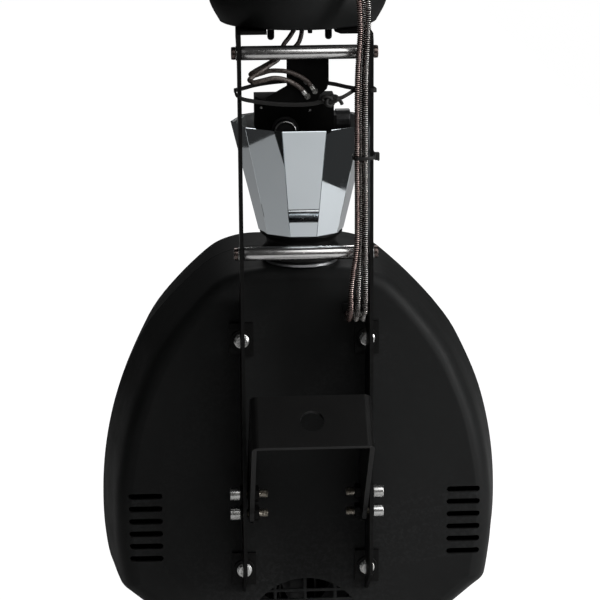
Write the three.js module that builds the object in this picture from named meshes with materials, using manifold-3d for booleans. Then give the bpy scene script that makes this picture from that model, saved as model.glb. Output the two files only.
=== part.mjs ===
// Stage scanner light: lamp housing, mirror drum and scan mirror on two rails, mounting yoke.
// Millimetres, +Z up. X = 0, Y = 0 is the drum's vertical axis. The side with the rails and the yoke faces -Y.
import * as THREE from "three";
import { mergeVertices } from "three/addons/utils/BufferGeometryUtils.js";
import Module from "manifold-3d";

const wasm = await Module();
wasm.setup();

// ---------------------------------------------------------------- driving dimensions
const GAP = 0.3; // running and fitting clearance
// housing
const BACK_Y = -35, PART_Y = 60, FRONT_Y = 163.2, WALL = 3, FILLET = 12;
const BOTTOM_Z = 5, DECK_Z = 415;
// half outline of the housing at its parting plane, x and z, from the top centre down to the foot
const HALF = [
  [47, 415], [70, 409], [85, 400], [112, 375], [138, 345], [153.7, 314], [166.3, 284], [174.6, 253], [180, 221.5],
  [182.4, 191], [182.4, 160], [180, 136], [177.4, 121.7], [173.2, 110.6], [162.2, 101.6], [75, 32.1], [72.5, 8], [69, BOTTOM_Z],
];
// the rear half drafts in towards a flat, round-edged back: how far its sides and its slanted lower sides have moved in at
// each depth, and each outline point's share of the two. The last three points are the foot.
const SIDE = [[PART_Y, 0], [30, 4.8], [0, 9.4], [-12, 11.2], [-20, 12.9], [-26, 15], [-30.5, 18], [-33.4, 21.8], [BACK_Y, 27]];
const SLANT = [[PART_Y, 0], [30, 3], [0, 7.4], [-12, 11.6], [-20, 15], [-26, 18], [-30.5, 21.4], [-33.4, 25], [BACK_Y, 30]];
const SIDE_SHARE = [0, 0.1, 0.25, 0.5, 0.75, 0.9, 0.95, 1, 1, 1.04, 1.1, 1.14, 1, 0.35, 0];
const SLANT_SHARE = [0, 0, 0, 0, 0, 0, 0, 0, 0, 0, 0, 0, 0.1, 0.65, 1];
// the front half only drafts
const DRAFT = [[PART_Y, 0], [105, 2.9], [151, 7.9], [FRONT_Y, 9.3]];
const VENT_ROWS = 6, VENT_Z0 = 209.8, VENT_PITCH = 11.7, VENT_H = 5.4, VENT_X0 = 127, VENT_X1 = 157;
const FAN_Z = 75, FAN_R = 54, BAR_PITCH = 9.4;
// rails
const RAIL_X = 55, RAIL_T = 3, RAIL_NEAR = -85, RAIL_FAR = -35.4, RAIL_SLIM = -61, RAIL_TOP = 626;
const FOOT_Z = [353.1, 140.6], FOOT_NOTCH = 11;
const BAR_R = 6, TOP_BAR = [-69, 609], LOW_BAR = [-72, 438];
// yoke
const PIVOT = [-63, 220], ARC_R = 18, YOKE_L = 122, YOKE_ELEV = 48, YOKE_W = 50, YOKE_T = 4, YOKE_OUT = 51.2, YOKE_END_R = 26;
const TILT = [-35, 45];
const BOLT_R = 4, BOLT_HOLE = 4.3;
// cap
const CAP_X = -1.5, CAP_FLAT_R = 62, CAP_R = 77.5, CAP_Z = 626.6, CAP_SEAM = 654, CAP_TOP = 700, CAP_WALL = 2.5;
// drum
const FACETS = 10, RIM_R = 61, RIM_Z = 540, ROOT_R = 37.5, ROOT_Z = 443.5, MIRROR_T = 2.2;
const PULLEY_R = 33, MOTOR_PULLEY_R = 9, DRUM_MOTOR_Y = 50, BELT_Z = 423, BELT_W = 5, BELT_T = 1.4;
// scan mirror head
const PAN = [-15, 538], TILT_AXIS = [10, 538], MIRROR_R = 21, LEAN = 60;
// light path
const WHEEL_Y = 42, WHEEL_R = 54;
// cables
const CONDUIT_R = 2.5, SLEEVE_R = 2, CONDUIT_Y = -89.3;
// control panel
const PANEL_Y = FRONT_Y - 3.3, PANEL_T = 2.4;

// ---------------------------------------------------------------- materials
const mat = (color, roughness, metalness, more = {}) =>
  new THREE.MeshStandardMaterial({ color, roughness, metalness, ...more });
const M = {
  housing: mat("#151515", 0.62, 0.0),
  painted: mat("#121212", 0.5, 0.2),
  steel: mat("#c9ccd0", 0.28, 1.0),
  zinc: mat("#a9abab", 0.35, 1.0),
  mirror: mat("#e8eef4", 0.04, 1.0),
  motor: mat("#1b1b1c", 0.45, 0.4),
  alu: mat("#b9bcc0", 0.4, 0.9),
  board: mat("#14442a", 0.55, 0.0),
  rubber: mat("#101010", 0.85, 0.0),
  glass: mat("#dfe8ee", 0.05, 0.0, { transparent: true, opacity: 0.4 }),
  plastic: mat("#1c1c1d", 0.4, 0.0),
  conduit: mat("#8b8a86", 0.35, 0.9),
  sleeve: mat("#6d5c50", 0.5, 0.3),
  wheel: mat("#2b2c30", 0.35, 0.6),
};

// ---------------------------------------------------------------- geometry helpers
const V3 = (x, y, z) => new THREE.Vector3(x, y, z);
const circle = (cx, cy, r, n, a0 = 0) =>
  Array.from({ length: n }, (_, i) => {
    const a = a0 + (i / n) * Math.PI * 2;
    return [cx + r * Math.cos(a), cy + r * Math.sin(a)];
  });
const shapeOf = (pts, holes = []) => {
  const s = new THREE.Shape(pts.map(([a, b]) => new THREE.Vector2(a, b)));
  for (const h of holes) s.holes.push(new THREE.Path(h.map(([a, b]) => new THREE.Vector2(a, b))));
  return s;
};
const BASIS = {
  x: new THREE.Matrix4().makeBasis(V3(0, 1, 0), V3(0, 0, 1), V3(1, 0, 0)), // profile in y, z
  y: new THREE.Matrix4().makeBasis(V3(1, 0, 0), V3(0, 0, 1), V3(0, -1, 0)), // profile in x, z
  z: new THREE.Matrix4(), // profile in x, y
};
// A profile extruded along one axis from a to b.
function prism(axis, pts, a, b, holes = []) {
  const g = new THREE.ExtrudeGeometry(shapeOf(pts, holes), { depth: b - a, bevelEnabled: false, steps: 1 });
  g.applyMatrix4(BASIS[axis]);
  if (axis === "x") g.translate(a, 0, 0);
  if (axis === "y") g.translate(0, b, 0);
  if (axis === "z") g.translate(0, 0, a);
  return g;
}
const block = (x0, x1, y0, y1, z0, z1) =>
  new THREE.BoxGeometry(x1 - x0, y1 - y0, z1 - z0).translate((x0 + x1) / 2, (y0 + y1) / 2, (z0 + z1) / 2);
// A round bar along an axis; c is its centre in the two other axes, in the order x, y, z.
const rod = (axis, c, r, a, b, n = 16, phase = 0) => prism(axis, circle(c[0], c[1], r, n, phase), a, b);
const hex = (axis, c, af, a, b, phase = 0) => prism(axis, circle(c[0], c[1], af / Math.sqrt(3), 6, phase), a, b);
// A turned piece: r, t pairs on a closed profile, turned about an axis through c.
function turned(axis, c, pts, n = 24) {
  const z = pts[pts.length - 1], closed = (pts[0][0] === 0 && z[0] === 0) || (pts[0][0] === z[0] && pts[0][1] === z[1]);
  const g = new THREE.LatheGeometry((closed ? pts : [...pts, pts[0]]).map(([r, t]) => new THREE.Vector2(r, t)), n);
  // the lathe axis is +Y
  if (axis === "z") g.rotateX(Math.PI / 2).translate(c[0], c[1], 0);
  if (axis === "x") g.rotateZ(-Math.PI / 2).translate(0, c[0], c[1]);
  if (axis === "y") g.translate(c[0], 0, c[1]);
  return g;
}
function solid(g) {
  const c = g.index ? g.toNonIndexed() : g.clone();
  const p = new THREE.BufferGeometry().setAttribute("position", c.getAttribute("position"));
  const m = mergeVertices(p, 1e-3), v = m.attributes.position.array, f = [];
  for (let i = 0; i < m.index.count; i += 3) {
    // triangles that shrink to a line on a turned piece's axis are dropped
    const [a, b, d] = m.index.array.slice(i, i + 3);
    if (a !== b && b !== d && d !== a) f.push(a, b, d);
  }
  const made = (tri) => new wasm.Manifold(new wasm.Mesh({ numProp: 3, vertProperties: v, triVerts: new Uint32Array(tri) }));
  const s = made(f);
  if (s.volume() >= 0) return s;
  const turn = [];
  for (let i = 0; i < f.length; i += 3) turn.push(f[i], f[i + 2], f[i + 1]);
  return made(turn);
}
const join = (...gs) => gs.map((g) => (g.isBufferGeometry ? solid(g) : g)).reduce((a, b) => a.add(b));
const cut = (g, ...tools) =>
  tools.reduce((a, t) => a.subtract(t.isBufferGeometry ? solid(t) : t), g.isBufferGeometry ? solid(g) : g);
function geometryOf(s) {
  const m = s.getMesh(), n = m.numProp, v = new Float32Array(m.numVert * 3);
  for (let i = 0; i < m.numVert; i++) v.set(m.vertProperties.subarray(i * n, i * n + 3), i * 3);
  const g = new THREE.BufferGeometry();
  g.setAttribute("position", new THREE.BufferAttribute(v, 3));
  g.setIndex(new THREE.BufferAttribute(new Uint32Array(m.triVerts), 1));
  g.computeVertexNormals();
  return g;
}
// Rings of equal point count joined into one closed body, with flat ends.
function loft(rings) {
  const n = rings[0].length, pos = [], idx = [];
  for (const r of rings) for (const p of r) pos.push(...p);
  for (let k = 0; k + 1 < rings.length; k++)
    for (let i = 0; i < n; i++) {
      const j = (i + 1) % n, a = k * n + i, b = k * n + j, c = a + n, d = b + n;
      idx.push(a, b, d, a, d, c);
    }
  const flat = (r) => {
    // project an end ring on its own plane for the triangulation
    const o = V3(...r[0]), e = V3(...r[1]).sub(o).normalize();
    const nrm = V3(0, 0, 0);
    for (let i = 0; i < n; i++) nrm.add(V3(...r[i]).sub(o).cross(V3(...r[(i + 1) % n]).sub(o)));
    const f = nrm.normalize().cross(e);
    return r.map((p) => new THREE.Vector2(V3(...p).sub(o).dot(e), V3(...p).sub(o).dot(f)));
  };
  const first = THREE.ShapeUtils.triangulateShape(flat(rings[0]), []);
  for (const t of first) idx.push(t[2], t[1], t[0]);
  const off = (rings.length - 1) * n, last = THREE.ShapeUtils.triangulateShape(flat(rings[rings.length - 1]), []);
  for (const t of last) idx.push(off + t[0], off + t[1], off + t[2]);
  const g = new THREE.BufferGeometry();
  g.setAttribute("position", new THREE.BufferAttribute(new Float32Array(pos), 3));
  g.setIndex(idx);
  return g;
}
// A band that closes on itself: a rectangular section, thick across the path and tall along Z.
function closedBand(path, thick, tall) {
  const n = path.length, pos = [], idx = [];
  for (let i = 0; i < n; i++) {
    const p = path[i], a = path[(i + n - 1) % n], b = path[(i + 1) % n];
    const t = V3(b[0] - a[0], b[1] - a[1], 0).normalize(), m = [t.y, -t.x];
    for (const [u, w] of [[-0.5, -0.5], [0.5, -0.5], [0.5, 0.5], [-0.5, 0.5]])
      pos.push(p[0] + m[0] * u * thick, p[1] + m[1] * u * thick, p[2] + w * tall);
  }
  for (let i = 0; i < n; i++) {
    const a = i * 4, b = ((i + 1) % n) * 4;
    for (let k = 0; k < 4; k++) {
      const l = (k + 1) % 4;
      idx.push(a + k, b + k, b + l, a + k, b + l, a + l);
    }
  }
  const g = new THREE.BufferGeometry();
  g.setAttribute("position", new THREE.BufferAttribute(new Float32Array(pos), 3));
  g.setIndex(idx);
  return g;
}
// A round cable along a smooth route.
function cable(points, r, sides, steps) {
  const curve = new THREE.CatmullRomCurve3(points.map((p) => V3(...p)), false, "centripetal");
  return new THREE.ExtrudeGeometry(shapeOf(circle(0, 0, r, sides)), { steps, extrudePath: curve, bevelEnabled: false });
}
const mirrorX = (pts) => pts.map(([x, z]) => [-x, z]).reverse();

const root = new THREE.Group();
const group = (parent = root, x = 0, y = 0, z = 0) => {
  const g = new THREE.Group();
  g.position.set(x, y, z);
  parent.add(g);
  return g;
};
function node(name, shape, material, parent = root, at = [0, 0, 0]) {
  const s = shape.isBufferGeometry ? solid(shape) : shape;
  const mesh = new THREE.Mesh(geometryOf(s), material);
  mesh.name = name;
  mesh.position.set(...at);
  mesh.geometry.translate(-at[0] - (parent.userData.o?.[0] ?? 0), -at[1] - (parent.userData.o?.[1] ?? 0), -at[2] - (parent.userData.o?.[2] ?? 0));
  parent.add(mesh);
  return mesh;
}
// A group with its own origin: its meshes are given in the fixture's frame and stored about that origin.
const assembly = (x, y, z) => {
  const g = group(root, x, y, z);
  g.userData.o = [x, y, z];
  return g;
};

// ---------------------------------------------------------------- housing
const OUTLINE = [...HALF, ...mirrorX(HALF)]; // clockwise seen from -Y
function inset(d) {
  const n = OUTLINE.length;
  return OUTLINE.map((p, i) => {
    const a = OUTLINE[(i + n - 1) % n], b = OUTLINE[(i + 1) % n];
    const u = new THREE.Vector2(p[0] - a[0], p[1] - a[1]).normalize();
    const v = new THREE.Vector2(b[0] - p[0], b[1] - p[1]).normalize();
    const nu = new THREE.Vector2(u.y, -u.x), nv = new THREE.Vector2(v.y, -v.x); // inward for this order
    const m = nu.clone().add(nv).normalize();
    const k = d[i] / Math.max(0.5, m.dot(nu));
    return [p[0] + m.x * k, p[1] + m.y * k];
  });
}
const DEG = Math.PI / 180;
// value of a curve of [y, value] points at y
const at = (curve, y) => {
  const c = [...curve].sort((p, q) => p[0] - q[0]);
  let i = 1;
  while (i < c.length - 1 && c[i][0] < y) i++;
  const [a, b] = [c[i - 1], c[i]];
  return a[1] + ((b[1] - a[1]) * (y - a[0])) / (b[0] - a[0]);
};
const LAST = HALF.length - 4;
const RISE = (HALF[LAST][1] - HALF[LAST + 1][1]) / (HALF[LAST][0] - HALF[LAST + 1][0]);
// one closed section: each point of the outline above the foot moves in by its own amount, and the foot keeps its level
function ring(y, amounts, slant, foot, level) {
  const out = inset([...amounts, 0, 0, 0, 0, 0, 0, ...[...amounts].reverse()]);
  const x = HALF[LAST + 1][0] - foot;
  const low = [[x, HALF[LAST][1] + RISE * (x - HALF[LAST][0]) + Math.hypot(1, RISE) * slant], ...[LAST + 2, LAST + 3].map((i) => [HALF[i][0] - foot, HALF[i][1] + level])];
  low.forEach((p, i) => { out[LAST + 1 + i] = p; out[out.length - LAST - 2 - i] = [-p[0], p[1]]; });
  return out.map(([px, z]) => [px, y, z]);
}
// the rounded edge of the flat end: inset at y, for a wall depth t inside the outer surface
const rounded = (end, y, t) => {
  const c = Math.abs(end) - FILLET, h = Math.abs(y) - c, r = FILLET - t;
  return h <= 0 ? t : FILLET - Math.sqrt(Math.max(0, r * r - h * h));
};
// a curve moved in by the wall, as seen from its own slope
const walled = (curve) => curve.map(([y, v], i) => {
  const [a, b] = [curve[Math.max(0, i - 1)], curve[Math.min(curve.length - 1, i + 1)]];
  const ds = b[1] - a[1], dy = b[0] - a[0], l = Math.hypot(ds, dy);
  return [y + (WALL * ds) / l, v - (WALL * dy) / l];
});
function rearRing(y, t, side, slant) {
  const e = rounded(BACK_Y, Math.min(y, 0), t), a = at(side, y), b = at(slant, y);
  const amounts = SIDE_SHARE.map((w, i) => (i < 5 ? e * (1 - w) : 0) + w * a + SLANT_SHARE[i] * b);
  return ring(y, amounts, t + 0.7 * (b - t), t + 0.3 * (a - t), e);
}
const outerRear = loft(SIDE.map(([y]) => rearRing(y, 0, SIDE, SLANT)).reverse());
const innerRear = loft([PART_Y + 1, 30, 0, -12, -19.5, -25, -28.8, BACK_Y + WALL].map((y) => rearRing(y, WALL, walled(SIDE), walled(SLANT))).reverse());
const drafted = (y, t) => {
  const e = rounded(FRONT_Y, y, t), d = e + at(DRAFT, y);
  return ring(y, SIDE_SHARE.map(() => d), d, d, e);
};
const outerFront = loft([PART_Y + GAP, 105, 151.2, 157.2, 161.6, FRONT_Y].map((y) => drafted(y, 0)));
const innerFront = loft([PART_Y - 1, 105, 151.2, 157.6, FRONT_Y - WALL].map((y) => drafted(y, WALL)));
const slot = (x0, x1, z, h, n = 3) => {
  const r = h / 2, pts = [];
  for (let i = 0; i <= n; i++) pts.push([x1 - r + r * Math.sin((i / n) * Math.PI), z + r * Math.cos((i / n) * Math.PI)]);
  for (let i = 0; i <= n; i++) pts.push([x0 + r - r * Math.sin((i / n) * Math.PI), z - r * Math.cos((i / n) * Math.PI)]);
  return pts;
};
const vents = [];
for (let i = 0; i < VENT_ROWS; i++)
  for (const s of [-1, 1]) {
    const a = s < 0 ? -VENT_X1 : VENT_X0, b = s < 0 ? -VENT_X0 : VENT_X1;
    vents.push(prism("y", slot(a, b, VENT_Z0 - i * VENT_PITCH, VENT_H), BACK_Y - 1, -20));
  }
// the fan opening keeps a grid of bars moulded in one with the panel
const grid = join(
  ...Array.from({ length: 10 }, (_, i) => block(-60, 60, BACK_Y + 0.2, BACK_Y + 2.6, FAN_Z + (i - 4.5) * BAR_PITCH - 1.4, FAN_Z + (i - 4.5) * BAR_PITCH + 1.4)),
  ...[-27.5, -0.5, 26.5].map((x) => block(x - 1.4, x + 1.4, BACK_Y + 0.4, BACK_Y + 3, FAN_Z - 60, FAN_Z + 60)),
).intersect(solid(rod("y", [0, FAN_Z], FAN_R + 0.8, BACK_Y - 2, BACK_Y + 6, 28)));
let rear = cut(
  solid(outerRear).subtract(solid(innerRear)),
  ...vents,
  rod("y", [0, FAN_Z], FAN_R, BACK_Y - 1, BACK_Y + WALL + 1, 28),
  rod("z", [0, 0], 24, DECK_Z - 12, DECK_Z + 5, 24),
  rod("z", [0, DRUM_MOTOR_Y], 5, DECK_Z - 12, DECK_Z + 5, 12),
  ...FOOT_Z.flatMap((z) => [-RAIL_X, RAIL_X].map((x) => rod("y", [x, z], BOLT_HOLE + 0.1, BACK_Y - 1, BACK_Y + WALL + 1, 12))),
).add(grid);
// raised bush plate where the three conduits enter, and pegs that carry the inner plate
rear = rear.add(solid(block(33.4, 53.1, -38, BACK_Y + 0.5, 368.5, 384)));
const pegs = [[-100, 200], [100, 200], [-70, 370], [70, 370]];
for (const [x, z] of pegs) rear = rear.add(solid(rod("y", [x, z], 4, BACK_Y + 1, -20 - GAP, 10)));
node("rear_shell", rear, M.housing);
const CP = { x: 80, z0: 118, z1: 192 };
const front = cut(
  solid(outerFront).subtract(solid(innerFront)),
  block(-CP.x, CP.x, FRONT_Y - WALL - 1, FRONT_Y + 1, CP.z0, CP.z1),
);
node("front_shell", front, M.housing);
for (const [n, s] of [["left", -1], ["right", 1]])
  node("foot_strip_" + n, prism("y", slot(Math.min(s * 42, s * 60), Math.max(s * 42, s * 60), 2.35, 4.7, 2), -16, 146), M.rubber);

// ---------------------------------------------------------------- control panel on the front
const socketX = [22, 54], socketZ = 135, buttonX = [8, 27, 46, 65], buttonZ = 168;
const inlet = { x0: -66, x1: -36, z0: 125, z1: 147 }, rocker = { x: -20, z: 136, w: 12, h: 20 };
const rect = (x0, x1, z0, z1) => [[x0, z0], [x1, z0], [x1, z1], [x0, z1]];
const P0 = PANEL_Y - PANEL_T;
node(
  "control_panel",
  prism("y", rect(-CP.x - 5, CP.x + 5, CP.z0 - 5, CP.z1 + 5), P0, PANEL_Y, [
    rect(-66, -12, 153, 183),
    ...buttonX.map((x) => circle(x, buttonZ, 4.7, 12)),
    rect(inlet.x0, inlet.x1, inlet.z0, inlet.z1),
    rect(rocker.x - rocker.w / 2 - GAP, rocker.x + rocker.w / 2 + GAP, rocker.z - rocker.h / 2 - GAP, rocker.z + rocker.h / 2 + GAP),
    ...socketX.map((x) => circle(x, socketZ, 11.4, 14)),
  ]),
  M.painted,
);
node("display_window", block(-66 + GAP, -12 - GAP, P0 + 0.4, PANEL_Y + 0.6, 153 + GAP, 183 - GAP), M.glass);
buttonX.forEach((x, i) =>
  node("menu_button_" + (i + 1), turned("y", [x, buttonZ], [[0, P0 - 3], [5.6, P0 - 3], [5.6, P0 - 0.4 - 1.6], [4.3, P0 - 0.4 - 1.6], [4.3, PANEL_Y + 1.7], [3.6, PANEL_Y + 2.3], [0, PANEL_Y + 2.3]], 12), M.plastic),
);
// rocker: a bar bowed at its middle, standing at rest with its lower end pressed in
const ROCK = 7, rockGroup = assembly(rocker.x, PANEL_Y - 2, rocker.z);
const rockYZ = [[-5, -5], [2.4, -9.2], [3.2, -9.1], [2.2, 0], [3.2, 9.1], [2.4, 9.2], [-5, 5]].map(([y, z]) => {
  const c = Math.cos(ROCK * DEG), n = Math.sin(ROCK * DEG);
  return [PANEL_Y - 2 + y * c + z * n, rocker.z - y * n + z * c];
});
node("power_switch", prism("x", rockYZ, rocker.x - rocker.w / 2, rocker.x + rocker.w / 2), M.plastic, rockGroup);
const inletBody = cut(
  block(inlet.x0 + GAP, inlet.x1 - GAP, PANEL_Y - 26, PANEL_Y + 1, inlet.z0 + GAP, inlet.z1 - GAP),
  block(inlet.x0 + 3, inlet.x1 - 3, PANEL_Y - 17, PANEL_Y + 3, inlet.z0 + 3.5, inlet.z1 - 3),
);
node("power_inlet", join(inletBody, ...[-58, -51, -44].map((x, i) => block(x - 1, x + 1, PANEL_Y - 18, PANEL_Y - 4, 134 + (i === 1 ? 3 : 0), 138 + (i === 1 ? 3 : 0)))), M.plastic);
const sockets = join(
  ...socketX.map((x) => cut(rod("y", [x, socketZ], 11, PANEL_Y - 22, PANEL_Y + 1.5, 14), rod("y", [x, socketZ], 8.6, PANEL_Y - 16, PANEL_Y + 3, 14))),
  block(socketX[0] - 6, socketX[1] + 6, PANEL_Y - 22, PANEL_Y - 18, socketZ - 8, socketZ + 8),
  ...socketX.flatMap((x) => [[-4.5, 2.5], [4.5, 2.5], [0, -4.5]].map(([dx, dz]) => rod("y", [x + dx, socketZ + dz], 1.3, PANEL_Y - 17, PANEL_Y - 5, 6))),
);
node("signal_sockets", sockets, M.plastic);

// ---------------------------------------------------------------- rails and cross bars
const arcPts = (cx, cy, r, a0, a1, n) => Array.from({ length: n + 1 }, (_, i) => { const a = (a0 + ((a1 - a0) * i) / n) * DEG; return [cx + r * Math.cos(a), cy + r * Math.sin(a)]; });
const notch = (z) => [[RAIL_FAR, z - FOOT_NOTCH], ...arcPts(RAIL_FAR - 3.5, z, FOOT_NOTCH, -90, -270, 8), [RAIL_FAR, z + FOOT_NOTCH]];
const railOutline = [
  [RAIL_NEAR, 150], [RAIL_FAR, 118], ...notch(FOOT_Z[1]), ...notch(FOOT_Z[0]), [RAIL_FAR, 384], [RAIL_FAR - 3, 390], [RAIL_SLIM + 3, 399], [RAIL_SLIM, 406],
  [RAIL_SLIM, 592], [RAIL_SLIM + 4, 604], [-28, 618], [-28, RAIL_TOP], [RAIL_NEAR + 4, RAIL_TOP], [RAIL_NEAR, RAIL_TOP - 6],
];
const arcSlot = () => {
  const a0 = -90 + TILT[0] - 1.5, a1 = -90 + TILT[1] + 1.5, w = BOLT_HOLE + 0.1, c = PIVOT;
  const end = (at, from) => arcPts(c[0] + ARC_R * Math.cos(at * DEG), c[1] + ARC_R * Math.sin(at * DEG), w, from, from + 180, 5).slice(1, -1);
  return [...arcPts(c[0], c[1], ARC_R + w, a0, a1, 8), ...end(a1, a1), ...arcPts(c[0], c[1], ARC_R - w, a1, a0, 6), ...end(a0, a0 + 180)];
};
for (const [n, s] of [["left", -1], ["right", 1]]) {
  const x0 = s * RAIL_X - RAIL_T / 2, x1 = s * RAIL_X + RAIL_T / 2;
  const plate = prism("x", railOutline, x0, x1, [
    circle(PIVOT[0], PIVOT[1], BOLT_HOLE, 14), arcSlot(), circle(TOP_BAR[0], TOP_BAR[1], 3.4, 10), circle(LOW_BAR[0], LOW_BAR[1], 3.4, 10),
  ]);
  const feet = FOOT_Z.map((z) => cut(block(s * RAIL_X - 10.6, s * RAIL_X + 10.6, RAIL_FAR - 3, RAIL_FAR, z - 15, z + 15), rod("y", [s * RAIL_X, z], BOLT_HOLE + 0.2, RAIL_FAR - 5, RAIL_FAR + 2, 12)));
  // inward tab under the cap
  const tab = prism("z", s > 0 ? [[54.5, -61], [54.5, -28], [27, -28], [27, -48], [31, -61]] : [[-54.5, -61], [-54.5, -28], [-31, -28], [-31, -61]], RAIL_TOP - 3, RAIL_TOP);
  node("rail_" + n, join(plate, ...feet, tab), M.painted);
}
const barProfile = (() => {
  const i = RAIL_X - RAIL_T / 2 - GAP, o = RAIL_X + RAIL_T / 2 + GAP;
  return [[0, -o - 4.6], [5, -o - 4.6], [5.6, -o - 3.9], [5.6, -o], [3, -o], [3, -i], [BAR_R - 0.7, -i], [BAR_R, -i + 0.7], [BAR_R, i - 0.7], [BAR_R - 0.7, i], [3, i], [3, o], [5.6, o], [5.6, o + 3.9], [5, o + 4.6], [0, o + 4.6]];
})();
node("cross_bar_top", turned("x", TOP_BAR, barProfile, 12), M.steel);
node("cross_bar_lower", turned("x", LOW_BAR, barProfile, 12), M.steel);
for (const [n, x, z] of [["upper_left", -RAIL_X, FOOT_Z[0]], ["upper_right", RAIL_X, FOOT_Z[0]], ["lower_left", -RAIL_X, FOOT_Z[1]], ["lower_right", RAIL_X, FOOT_Z[1]]]) {
  const y = RAIL_FAR - 3 - GAP;
  node("rail_bolt_" + n, join(
    rod("y", [x, z], 9.2, y - 1.6, y, 14),
    hex("y", [x, z], 13, y - 1.6 - 5.3, y - 1.6, x * 0.01),
    rod("y", [x, z], BOLT_R, y - 2, -23, 8),
    hex("y", [x, z], 13, BACK_Y + WALL + GAP, BACK_Y + WALL + GAP + 6.5),
  ), M.zinc);
}

// ---------------------------------------------------------------- mounting yoke
const yokeGroup = assembly(0, PIVOT[0], PIVOT[1]);
const dir = [-Math.cos(YOKE_ELEV * DEG), Math.sin(YOKE_ELEV * DEG)], nor = [Math.sin(YOKE_ELEV * DEG), Math.cos(YOKE_ELEV * DEG)];
const yz = (s, t) => [PIVOT[0] + dir[0] * s + nor[0] * t, PIVOT[1] + dir[1] * s + nor[1] * t];
const H = YOKE_W / 2;
// leg outline in s, t: round end about the pivot, widening to the base
const legST = [[YOKE_L, -H], [YOKE_L, H], [18, H], ...Array.from({ length: 9 }, (_, i) => { const a = (70 + (220 * i) / 8) * DEG; return [YOKE_END_R * Math.cos(a), YOKE_END_R * Math.sin(a)]; }), [18, -H]];
const leg = (x0, x1) => prism("x", legST.map(([s, t]) => yz(s, t)), x0, x1, [circle(PIVOT[0], PIVOT[1], BOLT_HOLE, 14), circle(PIVOT[0], PIVOT[1] - ARC_R, BOLT_HOLE, 14)]);
const base = prism("x", [[YOKE_L - YOKE_T, -H], [YOKE_L, -H], [YOKE_L, H], [YOKE_L - YOKE_T, H]].map(([s, t]) => yz(s, t)), -YOKE_OUT, YOKE_OUT);
// round hole through the middle of the base, along the legs' direction
// the two bends of the bracket are rounded outside
const bend = (s) => prism("y", [...arcPts(-6, -6, 6, 0, 90, 5), [-6, 2], [2, 2], [2, -6]].map(([x, z]) => [s * (YOKE_OUT + x), 2 + z]), -H - 1, H + 1)
  .rotateX((90 - YOKE_ELEV) * DEG).translate(0, ...yz(YOKE_L - 2, 0));
const boreTool = rod("z", [0, 0], 10, -12, 12, 24).rotateX((90 - YOKE_ELEV) * DEG).translate(0, ...yz(YOKE_L - 2, 0));
node("yoke_bracket", cut(join(leg(-YOKE_OUT, -YOKE_OUT + YOKE_T), leg(YOKE_OUT - YOKE_T, YOKE_OUT), base), boreTool, bend(-1), bend(1)), M.painted, yokeGroup);
for (const [n, s, z] of [["upper_left", -1, PIVOT[1]], ["upper_right", 1, PIVOT[1]], ["lower_left", -1, PIVOT[1] - ARC_R], ["lower_right", 1, PIVOT[1] - ARC_R]]) {
  const c = [PIVOT[0], z], o = RAIL_X + RAIL_T / 2 + GAP;
  const X = (a, b) => (s > 0 ? [a, b] : [-b, -a]);
  node("yoke_bolt_" + n, join(
    rod("x", c, 8, ...X(o, o + 1.6), 12),
    cut(rod("x", c, 6.2, ...X(o + 1.5, o + 10.6), 12), hex("x", c, 6, ...X(o + 6.6, o + 12), 0.3)),
    rod("x", c, BOLT_R, ...X(34.3, o + 2), 8),
    hex("x", c, 13, ...X(YOKE_OUT - YOKE_T - GAP - 5, YOKE_OUT - YOKE_T - GAP), 0.4),
  ), M.zinc, yokeGroup);
}

// ---------------------------------------------------------------- cap
// flat bottom, a small round corner, then a side that swells gently to the seam
const bowl = (flat, rb, r, c, z0, n) => [
  ...[0, 45, 90].map((a) => [flat + (rb - flat) * Math.sin(a * DEG), z0 + c - c * Math.cos(a * DEG)]),
  ...Array.from({ length: n }, (_, i) => { const t = (i + 1) / n; return [rb + (r - rb) * Math.sin(t * 90 * DEG), z0 + c + (CAP_SEAM - z0 - c) * t]; }),
];
const bOut = bowl(CAP_FLAT_R, 68, CAP_R, 2.4, CAP_Z, 4);
const bIn = bowl(CAP_FLAT_R, 65.4, CAP_R - CAP_WALL, 1.4, CAP_Z + CAP_WALL, 3).reverse();
const capBase = join(
  turned("z", [CAP_X, 0], [[0, CAP_Z], ...bOut, ...bIn, [0, CAP_Z + CAP_WALL]], 24),
  ...[-26.6, 22.4].map((x) => turned("z", [x, -34], [[0, 614.8], [1.8, 615.5], [3, 617.8], [3, CAP_Z + 1], [0, CAP_Z + 1]], 8)),
  turned("z", [6.5, -38], [[0, 620.6], [2, 621.2], [2, CAP_Z + 1], [0, CAP_Z + 1]], 8),
);
node("cap_base", capBase, M.housing);
const dOut = [[CAP_R, CAP_SEAM + GAP], [CAP_R, 669.5], [75.6, 680], [68, 689.5], [51, 696.2], [26, 699.3], [0, CAP_TOP]];
const dIn = [[0, CAP_TOP - CAP_WALL], [46, 694.4], [66.8, 686], [CAP_R - CAP_WALL, 669], [CAP_R - CAP_WALL, CAP_SEAM + GAP]];
// the three conduits enter the cap's side here
const EXITS = [[38.5, -66.4, 668.5], [46, -61.2, 668.5], [42.4, -63.9, 662.6]];
node("cap_dome", turned("z", [CAP_X, 0], [...dOut, ...dIn, dOut[0]], 24), M.housing);
node("cap_driver_board", join(
  block(-42, 42, -30, 30, 640, 641.6), block(-30, -12, -14, 8, 641, 650), block(0, 22, -20, -6, 641, 648), block(-6, 26, 8, 22, 641, 646),
  ...[[-38, -26], [38, -26], [-38, 26], [38, 26]].map(([x, y]) => rod("z", [x, y], 2.6, CAP_Z + CAP_WALL + GAP, 640.5, 8)),
), M.board);

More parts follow.
